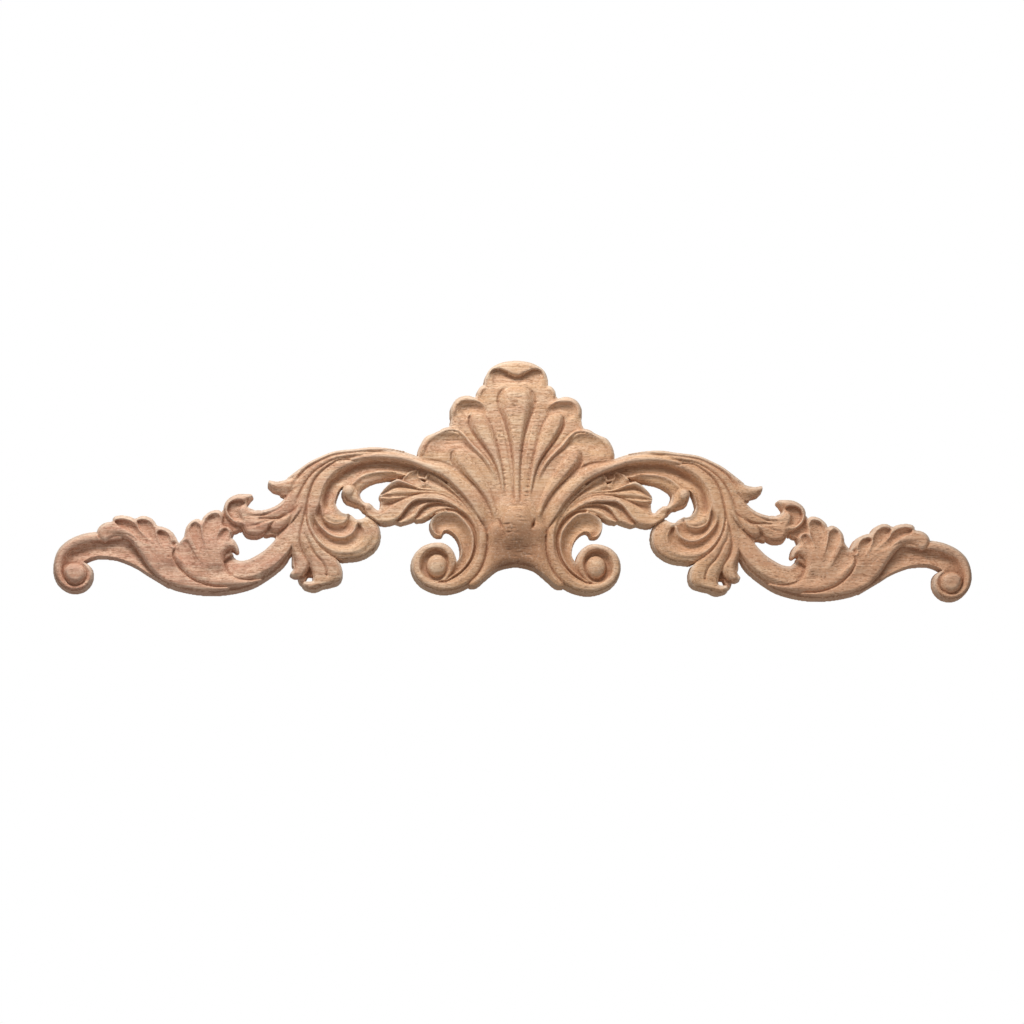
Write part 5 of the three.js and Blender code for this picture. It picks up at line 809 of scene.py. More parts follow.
# %% C-scroll
# Inner leaf of the scroll
ribbon(
    [[-33.4, -25.2], [-35, -25], [-36.5, -23.4], [-37.4, -20.6], [-36.4, -17.4], [-32.6, -14.9],
     [-27.7, -14.8], [-23.2, -18.1], [-19.8, -22.7], [-18.7, -28.8], [-19.8, -34.4], [-23.7, -40.3],
     [-28.3, -43.5], [-31.4, -45.6]],
    [[-32.6, -24.8], [-32, -23.3], [-30.5, -22.6], [-28.6, -23.2], [-27, -24.4], [-25.6, -26.2],
     [-24.5, -28.6], [-24.1, -31], [-24.2, -34.3], [-26, -37], [-28.4, -40.5], [-31, -45]],
    [[0, 1], [0.08, 0.85], [0.5, 0, 1], [1, 0.55]], [5.6, 5.2, 5.6, 6.2, 6.6], [3, 3.4, 3.4, 2.6, 1.4])
# Groove beside the scroll
ribbon(
    [[-31, -12.9], [-26, -13.6], [-22.4, -15.6], [-19.4, -19], [-17.2, -24.5], [-17, -28.8],
     [-17.8, -33.1], [-19.6, -37.2], [-22.8, -41], [-26, -43.7], [-31, -46.2]],
    [[-30.5, -14.6], [-26.6, -15.2], [-23.2, -18.1], [-19.8, -22.7], [-18.7, -27.9], [-19, -31.4],
     [-20.6, -36], [-23.7, -40.3], [-26, -42.1], [-28.3, -43.6], [-31.4, -45.6]],
    [[0, 0.9], [0.5, 0, 1], [1, 1]], [6.4, 6.6, 6.6, 6.4, 6], [1.6, 2, 2])
# Scroll and its volute
ribbon(
    [[-21, -13], [-18.6, -18], [-17.2, -22.6], [-16.8, -27], [-17.3, -32.6], [-19.5, -37.8],
     [-23, -42.2], [-27, -44.9], [-32.4, -46.3], [-37.6, -45.2], [-41, -42], [-41.7, -38],
     [-40.9, -34.9], [-39.1, -32.6], [-36.4, -31.4], [-33, -31.7], [-30.8, -33.4], [-29.6, -36],
     [-29.4, -38.6], [-30.4, -42.4], [-32.2, -45.2]],
    [[-19.6, -12.4], [-16.2, -18], [-13.4, -22.6], [-12.6, -27], [-13.1, -33.1], [-14.8, -38.9],
     [-18.3, -44.3], [-23.5, -48.2], [-32.5, -50], [-41.2, -46.7], [-45, -41.2], [-45.2, -36.8],
     [-43.8, -33.1], [-40.8, -30.3], [-36.7, -28.8], [-31.9, -28.8], [-28.6, -31], [-26.7, -34.6],
     [-26.2, -37], [-28, -41.5], [-31.4, -45.4]],
    [[0, 0.2], [0.3, 1, 1], [0.65, 0.95, 1], [1, 0.1]], [7.8, 7.6, 7.4, 7.2, 7, 6.8, 6.8, 6.8, 6.6],
    [0.8, 2.2, 2.2, 2, 2, 2, 2, 1.8, 1], [0.08, 0, 0, 0], 97)
# Floor of the volute
plate(
    [[-41.6, -41], [-41.6, -37.6], [-40, -33.6], [-36.7, -31.4], [-33.6, -31.4], [-30.4, -33.6],
     [-29.5, -37], [-30.4, -42], [-33, -45.4], [-38, -44.9]],
    7.4, 5.8, 1.6)
# Bead of the volute
dome([-34.6, -38.7], 4.5, 5.1, 6.2, 3.6)

measured("scroll")

# %% [markdown]
# Two small leaves break the outer edge of the arch: a short spur, and a leaf whose tip
# curls over round a hollow.

# %% Spur and hook leaf
# Spur
ribbon(
    [[-93, 2], [-94.6, 2.8], [-98, -0.2], [-102, -2], [-105, -2.3], [-108, -1.8]],
    [[-96, -4], [-98, -6.4], [-100.2, -7.9], [-103, -6.6], [-106, -5.6], [-107.8, -3.8]],
    [[0, 0.1], [0.45, 1, 1], [1, 0.2]], [7.6, 7.4, 7], [1.6, 1.8, 1.4], [0.35, 0, 0, 0])
# Curl of the hook leaf
plate(
    [[-111, -15.3], [-114.6, -15.1], [-116.8, -13.8], [-117.6, -12.4], [-116.6, -10.4], [-115, -8.3],
     [-117.6, -7.9], [-121.4, -8.1], [-124.6, -9.6], [-126.7, -12.2], [-127, -15.4], [-125.6, -18.6],
     [-122, -21.4], [-119.4, -22.4], [-118.2, -24.5], [-117, -25.8], [-113.2, -26.3], [-110, -24.8],
     [-108, -21]],
    6.8, 8.8, 2.2)
# Lower part of the hook leaf
ribbon(
    [[-94, -12], [-99, -16.4], [-103, -18.2], [-108, -18.6], [-113, -18.4], [-117, -18]],
    [[-97, -18], [-101.4, -22.5], [-104, -24], [-106.2, -23.5], [-107.5, -22.4], [-109.5, -24.6],
     [-113.2, -26.3], [-117, -25.8]],
    [[0, 0.3], [0.35, 1, 1], [0.8, 0.7, 1], [1, 0]], [7.4, 7, 6.6, 6.6], [1.2, 1.8, 2.2, 2.2],
    [0.35, 0.3, 0, 0])
# Upper part of the hook leaf
ribbon(
    [[-93, -3], [-97.4, -5.6], [-101, -10], [-104.6, -13], [-109, -14.8], [-113, -15.3], [-116.4, -14]],
    [[-93, -11], [-97.6, -15.4], [-101, -17.4], [-104.4, -18.6], [-109, -18.8], [-113, -18.6],
     [-117, -18.4]],
    [[0, 0.2], [0.3, 1, 1], [0.8, 0.7, 1], [1, 0]], [7.4, 7.2, 6.8, 6.6], [1.6, 1.8, 2, 2.2],
    [0.3, 0.35, 0, 0])
# Hollow of the curl
ribbon(
    [[-119.6, -21.6], [-123.4, -19], [-125.6, -15.8], [-125.3, -13], [-123.4, -11.2], [-120.6, -10.6],
     [-118.4, -11.2]],
    [[-116.6, -20.8], [-118, -18.6], [-119, -16.8], [-119.4, -15.4], [-118.8, -14.4], [-118, -13.6],
     [-117.8, -12.6]],
    [[0, 0], [0.3, 0.1, 1], [1, 1]], [7.6, 6.6, 5.8, 5.8, 6.6], [1.2, 2.2, 2.8, 2.8, 1.8],
    [0.3, 0, 0, 0.35])
# Upper vein of the hook leaf
vein(
    [[-119, -17.6], [-114, -17.6], [-109, -16.8], [-103, -14], [-98.4, -9.6]],
    0.8, [0.1, 0.8, 0.8, 0.6, 0.2])
# Middle vein of the hook leaf
vein([[-117.4, -22.6], [-113, -21.6], [-109.6, -20.1], [-104, -18.4]], 0.8, [0.1, 0.8, 0.8, 0.2])
# Lower vein of the hook leaf
vein([[-107.4, -22.6], [-106, -20.6], [-103.4, -18.8], [-100, -15.6]], 0.8, [1, 0.9, 0.6, 0.2])

measured("hook leaf")

# %% [markdown]
# The stem carries the carving from the arch to the wave leaves. Its face is hollow with a
# crest along the lower side, and a long slope falls from that crest to the edge.

# %% Stem
# Slope under the stem
ribbon(
    [[-96, -27], [-99.5, -33], [-106, -39.6], [-114, -43.6], [-121.5, -44.2], [-128, -45.4], [-136, -46]],
    [[-97.6, -31], [-100.2, -37], [-104, -41], [-113, -47.3], [-120, -49.8], [-130, -51.3],
     [-140, -50.8]],
    [[0, 1], [0.3, 0.7], [1, 0]], [5.8, 6], [3.2, 3.2, 2])
# Stem
ribbon(
    [[-92, -12], [-95.6, -17], [-99.5, -22], [-103.5, -26.5], [-109, -32.3], [-113, -35], [-117, -36.9],
     [-120.4, -36.8], [-123.4, -34.4]],
    [[-92, -24], [-95.6, -27.6], [-99.6, -33.4], [-106, -39.6], [-110, -42.2], [-114, -43.9],
     [-119, -44.7], [-124, -43], [-126.6, -37]],
    [[0, 0.1], [0.22, 0.55, 1], [0.75, 0.9], [1, 1]], [6.8, 6.7, 6.5, 6.2, 6, 5.6, 3.6],
    [1.6, 2, 2.4, 2.8, 2.8, 2.4, 0.6], [0.25, 0, 0, 0])

measured("stem")

# %% [markdown]
# The end of the piece rolls up: a hollow band with a rim round its outer side, and a soft
# knob where it ends.

# %% Tail scroll
# Tail band
ribbon(
    [[-150, -46], [-154.6, -42], [-159, -38], [-163, -33], [-168, -28], [-173, -26.6], [-180, -28],
     [-186, -30], [-190, -31.3], [-194, -33.6], [-196.3, -37], [-197.4, -41]],
    [[-150.4, -48.4], [-156, -45], [-160, -42.6], [-164, -40], [-170, -37.3], [-176, -35.6],
     [-181, -35.6], [-185, -36.8], [-187.5, -38.3], [-189, -40], [-190, -41], [-191, -42]],
    [[0, 1], [0.1, 0.5], [0.4, 0, 1], [1, 0.5]], [6.4, 5.6, 5.2, 5, 5], [0.6, 2, 3, 3.4])
# Rim of the tail
ribbon(
    [[-170, -25.6], [-176.6, -25.4], [-181.5, -25.3], [-186, -25.8], [-190.5, -27.2], [-194.5, -29.4],
     [-198, -33], [-199.8, -38], [-199.9, -43], [-198.3, -47], [-195, -50], [-191, -51.1], [-187, -50],
     [-184.4, -47], [-183.6, -43.6], [-184.6, -40.4], [-187.4, -38.4]],
    [[-171, -28.2], [-177, -29.1], [-181.5, -29.2], [-186, -29.9], [-190, -31.2], [-193.5, -33.3],
     [-196, -36.5], [-197.1, -41], [-196.8, -44.5], [-195.2, -47.2], [-192.6, -48.9], [-189.8, -49.3],
     [-187, -48.2], [-185.4, -46], [-185, -43.4], [-185.8, -41], [-188, -39.4]],
    [[0, 0], [0.55, 1, 1], [1, 0.75]], [6.2, 6.2, 6, 5.8, 5.8], [1.4, 2.6, 2.6, 2, 1.2])
# Knob of the tail
plate(
    [[-196, -41.6], [-195.8, -45.2], [-193.8, -47.9], [-190.6, -49], [-187.6, -47.8], [-185.8, -45.2],
     [-185.6, -42.2], [-187.4, -39.8], [-190.4, -38.8], [-193.8, -39.4]],
    6, 9.6, 3)

measured("tail scroll")

# %% [markdown]
# The two wave leaves are laid as bodies first. Hollows then sink into their lobes,
# deepest under the tips and fading towards the root, which leaves a round rim.

# %% Wave leaves
# Blade of the small wave leaf
plate(
    [[-124, -49.6], [-134, -51.2], [-142, -50.4], [-149, -48.6], [-154.6, -45.4], [-159, -41],
     [-163, -35.2], [-165.5, -31.8], [-168, -29], [-170.5, -27.4], [-173, -27], [-175.6, -28],
     [-177.8, -29.9], [-180, -29], [-181.6, -26.4], [-181.2, -23.8], [-178.4, -21.4], [-175.2, -20.8],
     [-174.8, -19], [-172, -18.1], [-167, -18.8], [-165.6, -19.6], [-162.3, -18.1], [-158, -19.6],
     [-156, -22.4], [-153, -23.1], [-149.6, -25], [-147.4, -28.6], [-146, -31], [-142, -40], [-130, -46]],
    7.4, 9, 2)
# Small wave leaf lobe a
ribbon(
    [[-151, -42], [-157, -35.4], [-162, -31], [-166, -28.2], [-171, -26.4], [-175.6, -26.8],
     [-179, -27.8]],
    [[-150, -38], [-157, -33], [-163, -29.6], [-166.3, -26.2], [-170.3, -23.8], [-174.6, -22.6],
     [-179.6, -23.6]],
    [[0, 0.2], [0.5, 1, 1], [1, 0.8]], [8, 7.6, 7.6], [0.6, 1.5, 1.5], [0.4, 0.15, 0.15, 0])
# Small wave leaf lobe b
ribbon(
    [[-150, -39], [-158, -31.6], [-163.2, -29.2], [-166.4, -26.2], [-170.3, -23.8], [-173.4, -22.5],
     [-174.2, -21]],
    [[-150, -38], [-158, -28.6], [-163, -25.3], [-164.7, -22.8], [-167, -20.9], [-170.6, -19.8],
     [-173.2, -20]],
    HOLLOW, [8.8, 8.2, 7.2, 6.7], [0.2, 0.8, 1.5, 1.8], [0.8, 0, 0, 0])
# Small wave leaf lobe c
ribbon(
    [[-150, -38], [-158, -29.4], [-162.6, -25.4], [-164.4, -22.6], [-164.6, -20.6]],
    [[-149, -38], [-154, -31], [-156.4, -26.4], [-157, -23.6], [-158.6, -21.3], [-161.6, -19.8],
     [-164, -20]],
    HOLLOW, [8.8, 8.2, 7.2, 6.7], [0.2, 0.8, 1.5, 1.8], [0.8, 0, 0, 0])
# Small wave leaf lobe d
ribbon(
    [[-149, -38], [-153.6, -31.4], [-155.6, -27.4], [-155.9, -25.6], [-155, -24.7]],
    [[-148.4, -37], [-149.4, -32.6], [-150, -28.6], [-151.6, -25.6], [-154, -24.5]],
    HOLLOW, [8.8, 8.2, 7.3, 6.8], [0.2, 0.8, 1.4, 1.7], [0.8, 0, 0, 0])
# Blade of the large wave leaf
plate(
    [[-116, -45.6], [-110, -45.4], [-116, -48], [-122, -49.3], [-127, -49.2], [-131, -49.2],
     [-135, -48.4], [-141, -45.8], [-145.6, -41.8], [-148.4, -37.6], [-149.1, -34.6], [-147.6, -31.6],
     [-146, -29.5], [-143.9, -26.7], [-143.5, -23.6], [-141.6, -20.6], [-138.2, -19.1], [-136.8, -20.2],
     [-136, -18.4], [-133.4, -16.1], [-129.6, -15.2], [-127.4, -17.4], [-127.8, -21.6], [-125, -22.5],
     [-123.4, -24.2], [-124.3, -27.2], [-122.6, -28.4], [-121.3, -31], [-121.1, -33.6], [-122.6, -32.2],
     [-125, -32.8], [-126.8, -35.2], [-126.6, -39.4], [-124.4, -42.8], [-121, -44.8]],
    7.2, 9, 2.4)
# Large wave leaf lobe e
ribbon(
    [[-131, -46], [-140, -42], [-145, -37.6], [-147.8, -34], [-146.6, -30.8]],
    [[-131, -43], [-137.4, -37.6], [-141, -32], [-142.8, -28.8], [-145, -28.8]],
    HOLLOW, [8.8, 8.2, 7.5, 7.2], [0.2, 0.6, 1.1, 1.2], [0.8, 0, 0, 0])
# Large wave leaf lobe f
ribbon(
    [[-131, -43], [-137.6, -34.6], [-140.8, -28], [-142.2, -24.6], [-141.6, -21.9]],
    [[-129.6, -41], [-134.8, -32], [-136.6, -26], [-137.4, -22.4], [-139.6, -20.5]],
    HOLLOW, [8.8, 8.2, 7.2, 6.7], [0.2, 0.7, 1.4, 1.8], [0.8, 0, 0, 0])
# Large wave leaf lobe g
ribbon(
    [[-131, -38.6], [-134.8, -31.6], [-136.2, -25.6], [-135.8, -20.8], [-133.8, -17.9]],
    [[-129.4, -37.4], [-130.4, -30], [-129.2, -24], [-128.4, -19.2], [-129.8, -17], [-132, -16.9]],
    HOLLOW, [8.8, 8.1, 6.9, 6.5], [0.2, 0.8, 1.6, 2], [0.8, 0, 0, 0])
# Large wave leaf lobe h
ribbon(
    [[-130.4, -34.6], [-130.4, -30.6], [-129.6, -26.6], [-127.2, -23.3]],
    [[-128.8, -33.4], [-126.8, -29.8], [-125.3, -27], [-124.8, -24.6], [-126, -23.2]],
    HOLLOW, [8.8, 8.2, 7.3, 6.9], [0.2, 0.6, 1.2, 1.7], [0.7, 0, 0, 0])
# Valley of the large leaf
swell([-129, -42.6], 8, 4.4, -1.4)
# Valley of the small leaf
swell([-150, -42], 8, 5, -1)
# Eye between the leaves
swell([-148.4, -30.4], 1.7, 1.7, -1.6)
# Ridge round the eye
vein([[-149.4, -31.8], [-148.2, -32.5], [-146.8, -31.8]], 0.7, [-0.5])

measured("wave leaves")

# %% [markdown]
# Last, the carver's fret saw: four openings a side go right through the board, so that
# the strips beside them end on a true sawn edge.

# %% Openings
# Opening between the stem and the leaves
pierce(
    [[-121.5, -23.6], [-120, -23.2], [-119, -25], [-117.5, -27.2], [-113, -27.6], [-109, -26.2],
     [-106, -25.2], [-104.3, -26], [-105, -28], [-108, -31], [-113, -35], [-118, -37], [-121, -36.9],
     [-123.5, -34.4], [-121, -34.8], [-119.6, -33], [-120, -30], [-121.5, -27.5]],
    )
# Opening beside the curl ball
pierce(
    [[-76.9, -8.4], [-78.1, -9.6], [-78.3, -11.7], [-78, -13.5], [-76.9, -15.1], [-75.4, -16.1],
     [-72.3, -16.4], [-71.3, -17], [-70.5, -18], [-69.2, -18.7], [-67.2, -18.4], [-65.9, -17.5],
     [-65.6, -16.2], [-66.2, -14.9], [-67.2, -13.4], [-68.7, -12.1], [-72.8, -11.8], [-74.4, -11.2],
     [-75.8, -10]],
    )
# Opening before the leaf
pierce(
    [[-54.6, 0.2], [-59.3, -0.4], [-61.9, -1], [-64.5, -2.1], [-66.5, -3.5], [-68, -5], [-68.5, -6.6],
     [-68.3, -8.4], [-67.4, -10], [-66.3, -11.1], [-65, -10.8], [-63.7, -11.3], [-62.4, -12.6],
     [-61.1, -13.5], [-60.1, -13.4], [-59.6, -12.1], [-58.9, -10.5], [-59, -9.4], [-59.6, -8.2],
     [-59.3, -7.1], [-58.3, -5.6], [-56.5, -3.7], [-54.7, -2.1], [-53.2, -1.1], [-53, -0.4]],
    )
# Opening in the fan
pierce(
    [[-89.5, -42.8], [-89, -44.5], [-88.8, -46], [-91.1, -46.1], [-92.1, -45.7], [-91.8, -44.6],
     [-90.8, -43.4]],
    )
measured("openings")

# %% [markdown]
# A chisel leaves no dead sharp arris, and raw timber is never quite even. The heights are
# softened by a short bell-shaped average that looks only at carved samples, the half is
# mirrored, and a slow unevenness of a few hundredths of a millimetre is added, which
# differs from left to right.

# %% Soften, mirror and roughen
SOFTNESS = 0.19  # mm


def average(values, spread):
    """Bell-shaped average over a spread in samples, along one axis and then the other."""
    reach = int(np.ceil(3 * spread))
    weights = np.exp(-0.5 * (np.arange(-reach, reach + 1) / spread) ** 2)
    weights /= weights.sum()
    for axis in (0, 1):
        padded = np.pad(values, [(reach, reach) if k == axis else (0, 0) for k in (0, 1)], mode="edge")
        parts = np.lib.stride_tricks.sliding_window_view(padded, 2 * reach + 1, axis=axis)
        values = parts @ weights
    return values


def mirrored(values):
    """The left half with its mirror image, sharing the middle column."""
    return np.concatenate([values, values[:, -2::-1]], axis=1)


surface = mirrored(board)
full_x = np.r_[grid_x, -grid_x[-2::-1]]
carved = (surface > 0).astype(float)
cover = average(carved, SOFTNESS / CELL)
surface = average(surface, SOFTNESS / CELL) / np.maximum(cover, 1e-3)

dice = np.random.default_rng(41)
for size, depth in ((3.0, 0.05), (0.9, 0.018)):
    bumps = average(dice.standard_normal(surface.shape), size / CELL)
    surface += depth * bumps / bumps.std()
print(f"{surface.shape[1]} x {surface.shape[0]} samples, highest {surface[cover > 0.5].max():.2f} mm")

# %% [markdown]
# Fine marks that the photograph shows: short chatter cracks across the flat bands of the
# shell, on its middle tongue and on the knot, where the cutter tore the end grain, a few
# chips, and the longer cracks and scratches that catch the eye. They are cut into the
# full board, because they aren't the same left and right.

# %% Chatter marks and nicks
def nick(x0, z0, x1, z1, width, depth):
    """A cut from one point to another, in mm of the board, that is deepest in the middle."""
    middle, run = np.array(((x0 + x1) / 2, (z0 + z1) / 2)), np.array((x1 - x0, z1 - z0))
    reach = np.hypot(*run) / 2 + width
    columns = slice(*np.searchsorted(full_x, (middle[0] - reach, middle[0] + reach)))
    rows = slice(*np.searchsorted(grid_z, (middle[1] - reach, middle[1] + reach)))
    x, z = np.meshgrid(full_x[columns] - middle[0], grid_z[rows] - middle[1])
    along_run = (x * run[0] + z * run[1]) / (run @ run)
    beside = np.abs(x * run[1] - z * run[0]) / np.hypot(*run)
    surface[rows, columns] -= depth * ease(1 - 2 * np.abs(along_run)) * ease(1 - beside / width)


marks = 0
for side in (-1, 1):
    for z in np.arange(-10, 34, 2.3) + dice.uniform(-0.7, 0.7, 20):
        band = side * np.interp(z, (-10, 34), (4.0, 8.6))
        half = dice.uniform(0.8, 1.9)
        nick(band - half, z, band + half, z + dice.uniform(-0.3, 0.3), 0.42, dice.uniform(0.2, 0.5))
        marks += 1
for z in np.r_[np.arange(12, 38, 1.9), np.arange(-34, -14, 1.6)]:
    half, off = dice.uniform(1.2, 4.2), dice.uniform(-3, 3)
    nick(off - half, z, off + half, z + dice.uniform(-0.2, 0.2), 0.4, dice.uniform(0.14, 0.42))
    marks += 1
CHIP_LENGTH, CHIP_SLOPE, CHIP_WIDTH, CHIP_DEPTH = 1.4, 0.5, 0.6, 0.45
chips = ((-82.4, -43.1), (-83.6, -17.6), (-42.5, -41.6), (61, -22), (118, -44), (-150, -36))
for x, z in chips:
    nick(x - CHIP_LENGTH / 2, z, x + CHIP_LENGTH / 2, z + CHIP_SLOPE, CHIP_WIDTH, CHIP_DEPTH)
cracks = (  # start, end, width and depth
    (-7, -20.8, -2.2, -20.6, 0.5, 0.9),
    (-5.6, -24.4, -1.6, -24, 0.45, 0.6),
    (0.2, -36, 1.2, -36.3, 0.8, 1.6),
    (7.9, -18.8, 6.6, -22.4, 1, 1.4),
    (-34, 16.7, -22, 17, 0.5, 0.35),
    (-33, 15.3, -24, 15.5, 0.4, 0.3),
    (-4.8, 31.8, 2.8, 32, 0.5, 0.5),
    (-2.6, 35.6, 3.6, 35.7, 0.45, 0.4),
    (-5.4, -31.2, -1.4, -31.4, 0.6, 0.4),
    (2, -33.4, 9, -33.6, 0.6, 0.35),
)
for crack in cracks:
    nick(*crack)
print(f"{marks} chatter marks, {len(chips)} chips and {len(cracks)} cracks cut")

# %% [markdown]
# Two shares are read from the heights for the colour: how deep a point lies below what is
# round it, which the timber takes as painted shade, and how far it stands proud, which it
# takes as a painted highlight and the lighter tone of sanding wear. Each is a sum over three
# sizes of surroundings, from the foot of a cut line to the floor of a hollow.

# %% Hollows and crests, for painted shade and painted highlight
# Weights for each size: of painted shade below the surroundings, and of painted highlight and wear above
# them.
SURROUNDINGS = ((0.5, 1.5, 0.2), (1.3, 0.33, 0.35), (3.5, 0.1, 0.12))  # mm, weight below, above
MOST_STEP = 3  # mm; a deeper step tells no more

held_share = (cover > 0.5).astype(float)
inside = surface * held_share
recess_shade, crest = np.zeros_like(surface), np.zeros_like(surface)
for size, dark, light in SURROUNDINGS:
    level = average(inside, size / CELL) / np.maximum(average(held_share, size / CELL), 0.05)
    recess_shade += dark * np.clip(level - inside, 0, MOST_STEP)
    crest += light * np.clip(inside - level, 0, MOST_STEP)
recess_shade, crest = np.clip(recess_shade, 0, 1) * held_share, np.clip(crest, 0, 1) * held_share
print(f"hollow {recess_shade[cover > 0.5].mean():.2f}, crest {crest[cover > 0.5].mean():.2f} on average")

# %% [markdown]
# The array becomes a mesh. Every small square of four samples that holds wood gives one
# vertex: in its middle, or, where the edge of the carving passes through it, at the mean
# of the points where its sides cross the edge. Every carved sample then gives one face
# from the four squares round it. That keeps a clean outline where plain pixels would
# give stairs.

# %% Vertices of the front
wood = cover >= 0.5
for _ in range(3):  # squares with wood at two opposite corners only would pinch the outline
    first, second = wood[:-1, :-1] & wood[1:, 1:], wood[:-1, 1:] & wood[1:, :-1]
    pinch = first & ~(wood[:-1, 1:] | wood[1:, :-1]) | second & ~(wood[:-1, :-1] | wood[1:, 1:])
    wood[:-1, :-1] |= pinch
    wood[1:, 1:] |= pinch
    wood[:-1, 1:] |= pinch
    wood[1:, :-1] |= pinch
level = np.where(wood, np.maximum(cover, 0.502), np.minimum(cover, 0.498))

corner = [(0, 0), (0, 1), (1, 1), (1, 0)]  # row and column steps round a square
rows, columns = level.shape[0] - 1, level.shape[1] - 1
held = np.stack([wood[j:j + rows, i:i + columns] for j, i in corner])
values = np.stack([level[j:j + rows, i:i + columns] for j, i in corner])
tops = np.stack([surface[j:j + rows, i:i + columns] for j, i in corner])
whole, some = held.all(0), held.any(0)
edge_square = some & ~whole

offset_x, offset_z, crossings = (np.zeros((rows, columns)) for _ in range(3))
for k, (j, i) in enumerate(corner):
    n = (k + 1) % 4
    j2, i2 = corner[n]
    cut = held[k] != held[n]
    t = np.where(cut, (0.5 - values[k]) / np.where(cut, values[n] - values[k], 1), 0)
    offset_x += np.where(cut, i + (i2 - i) * t, 0)
    offset_z += np.where(cut, j + (j2 - j) * t, 0)
    crossings += cut
share_x = np.where(edge_square, offset_x / np.maximum(crossings, 1), 0.5)
share_z = np.where(edge_square, offset_z / np.maximum(crossings, 1), 0.5)
weights = np.stack([(1 - share_x) * (1 - share_z), share_x * (1 - share_z),
                    share_x * share_z, (1 - share_x) * share_z])
vertex_x = full_x[0] + (np.arange(columns) + share_x) * CELL
vertex_z = grid_z[0] + (np.arange(rows)[:, None] + share_z) * CELL
vertex_y = (weights * tops).sum(0)

number = np.full((rows, columns), -1)
number[some] = np.arange(some.sum())
front = np.stack([vertex_x[some], -vertex_y[some], vertex_z[some]], 1)
j, i = np.nonzero(wood[1:-1, 1:-1])
front_faces = np.stack([number[j, i], number[j, i + 1], number[j + 1, i + 1], number[j + 1, i]], 1)
print(f"{len(front)} vertices, {len(front_faces)} faces in front, {edge_square.sum()} squares on the edge")

# %% [markdown]
# The sawn wall goes down from the front edge to the back in rings. The first rings round
# the arris, the last one stands out by the draft of the saw. Outwards is the way in which
# the cover of wood falls fastest. Where the next edge is near, as in a notch, the wall
# stays upright, so that two walls never cross.

# %% Rings of the wall
RINGS = ((0.10, 0.10), (0.17, 0.28), (0.21, 0.6))  # outwards and down, mm
WALL_LEAN = 0.62  # mm at the back
NEAR_EDGES = ((2.0, 0.35), (1.3, 0.18), (0.8, 0.05))  # wood this near leaves room to lean, mm

wide_cover = average(wood.astype(float), 2.0)
slope_z, slope_x = np.gradient(wide_cover)
edge_j, edge_i = np.nonzero(edge_square)
out = -np.stack([slope_x[edge_j, edge_i], slope_z[edge_j, edge_i]], 1)
out /= np.maximum(np.hypot(*out.T), 1e-6)[:, None]
edge = front[number[edge_j, edge_i]]


def sample_at(place_x, place_z):
    """Row and column of the samples nearest to these places."""
    column = np.clip(np.rint((place_x - full_x[0]) / CELL).astype(int), 0, wood.shape[1] - 1)
    row = np.clip(np.rint((place_z - grid_z[0]) / CELL).astype(int), 0, wood.shape[0] - 1)
    return row, column


lean = np.full(len(edge), WALL_LEAN)
for step, room in NEAR_EDGES:
    near = wood[sample_at(edge[:, 0] + step * out[:, 0], edge[:, 2] + step * out[:, 1])]
    lean = np.where(near, room, lean)

ring_number = np.full((rows, columns), -1)
ring_number[edge_j, edge_i] = np.arange(len(edge))
rings = []
for outwards, down in (*RINGS, (1.0, np.inf)):
    ring = edge.copy()
    step = np.minimum(outwards, lean) if down < np.inf else lean
    ring[:, 0] += out[:, 0] * step
    ring[:, 2] += out[:, 1] * step
    ring[:, 1] = np.minimum(edge[:, 1] + down, 0)
    rings.append(ring)
print(f"{len(rings)} rings of {len(edge)} vertices")

# %% [markdown]
# The edge of the wood runs between two squares that share a side with one wooden end.
# Each such stretch gives one four-sided face between every two rings. The back is the
# front's sheet of squares once more, laid flat and turned over.

# %% Walls and back
stretches = []
for differs, back_j, back_i in ((wood[:, :-1] != wood[:, 1:], 1, 0), (wood[:-1] != wood[1:], 0, 1)):
    j, i = np.nonzero(differs)
    two = np.stack([ring_number[j - back_j, i], ring_number[j, i - back_i]], 1)
    stretches.append(np.where(wood[j, i][:, None], two, two[:, ::-1]))
edges = np.concatenate(stretches)

first_ring = number[edge_j, edge_i]
levels = [first_ring] + [len(front) + k * len(edge) + np.arange(len(edge)) for k in range(len(rings))]
walls = [np.stack([low[edges[:, 0]], low[edges[:, 1]], high[edges[:, 1]], high[edges[:, 0]]], 1)
         for high, low in zip(levels[:-1], levels[1:])]

back = front[~edge_square[some]].copy()
back[:, 1] = 0
back_number = np.full(len(front), -1)
back_number[~edge_square[some]] = len(front) + len(rings) * len(edge) + np.arange(len(back))
back_number[first_ring] = levels[-1]
back_faces = back_number[front_faces][:, ::-1]
points = np.concatenate([front, *rings, back]) * MM
faces = np.concatenate([front_faces, *walls, back_faces])
print(f"{len(edges)} stretches of wall, {len(points)} vertices, {len(faces)} faces in all")

# %% [markdown]
# The full mesh has more faces than the piece needs, and most lie on smooth ground and on
# the flat back. The Decimate modifier joins faces where the surface is nearly flat and
# keeps them where it turns, so the arrises stay crisp in a mesh of a few megabytes.

# %% One finished piece
MOST_TRIANGLES = 190_000
SHARP_FROM = np.radians(62)
raw = bpy.data.meshes.new("carved_relief_raw")
raw.from_pydata(points, [], faces)
raw.validate()
carving = bpy.data.objects.new("carved_relief", raw)
bpy.context.collection.objects.link(carving)
thinner = carving.modifiers.new("fewer_faces", "DECIMATE")
thinner.ratio = min(1, MOST_TRIANGLES / (2 * len(faces)))
bpy.context.view_layer.update()
finished = bpy.data.meshes.new_from_object(carving.evaluated_get(bpy.context.evaluated_depsgraph_get()))
finished.name = "carved_relief"
carving.modifiers.clear()
carving.data = finished
bpy.data.meshes.remove(raw)
finished.shade_smooth()
finished.set_sharp_from_angle(angle=SHARP_FROM)

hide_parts("carved_applique")
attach(carving, "root")
finished.calc_loop_triangles()
print(f"carved_relief: {len(finished.loop_triangles)} triangles")
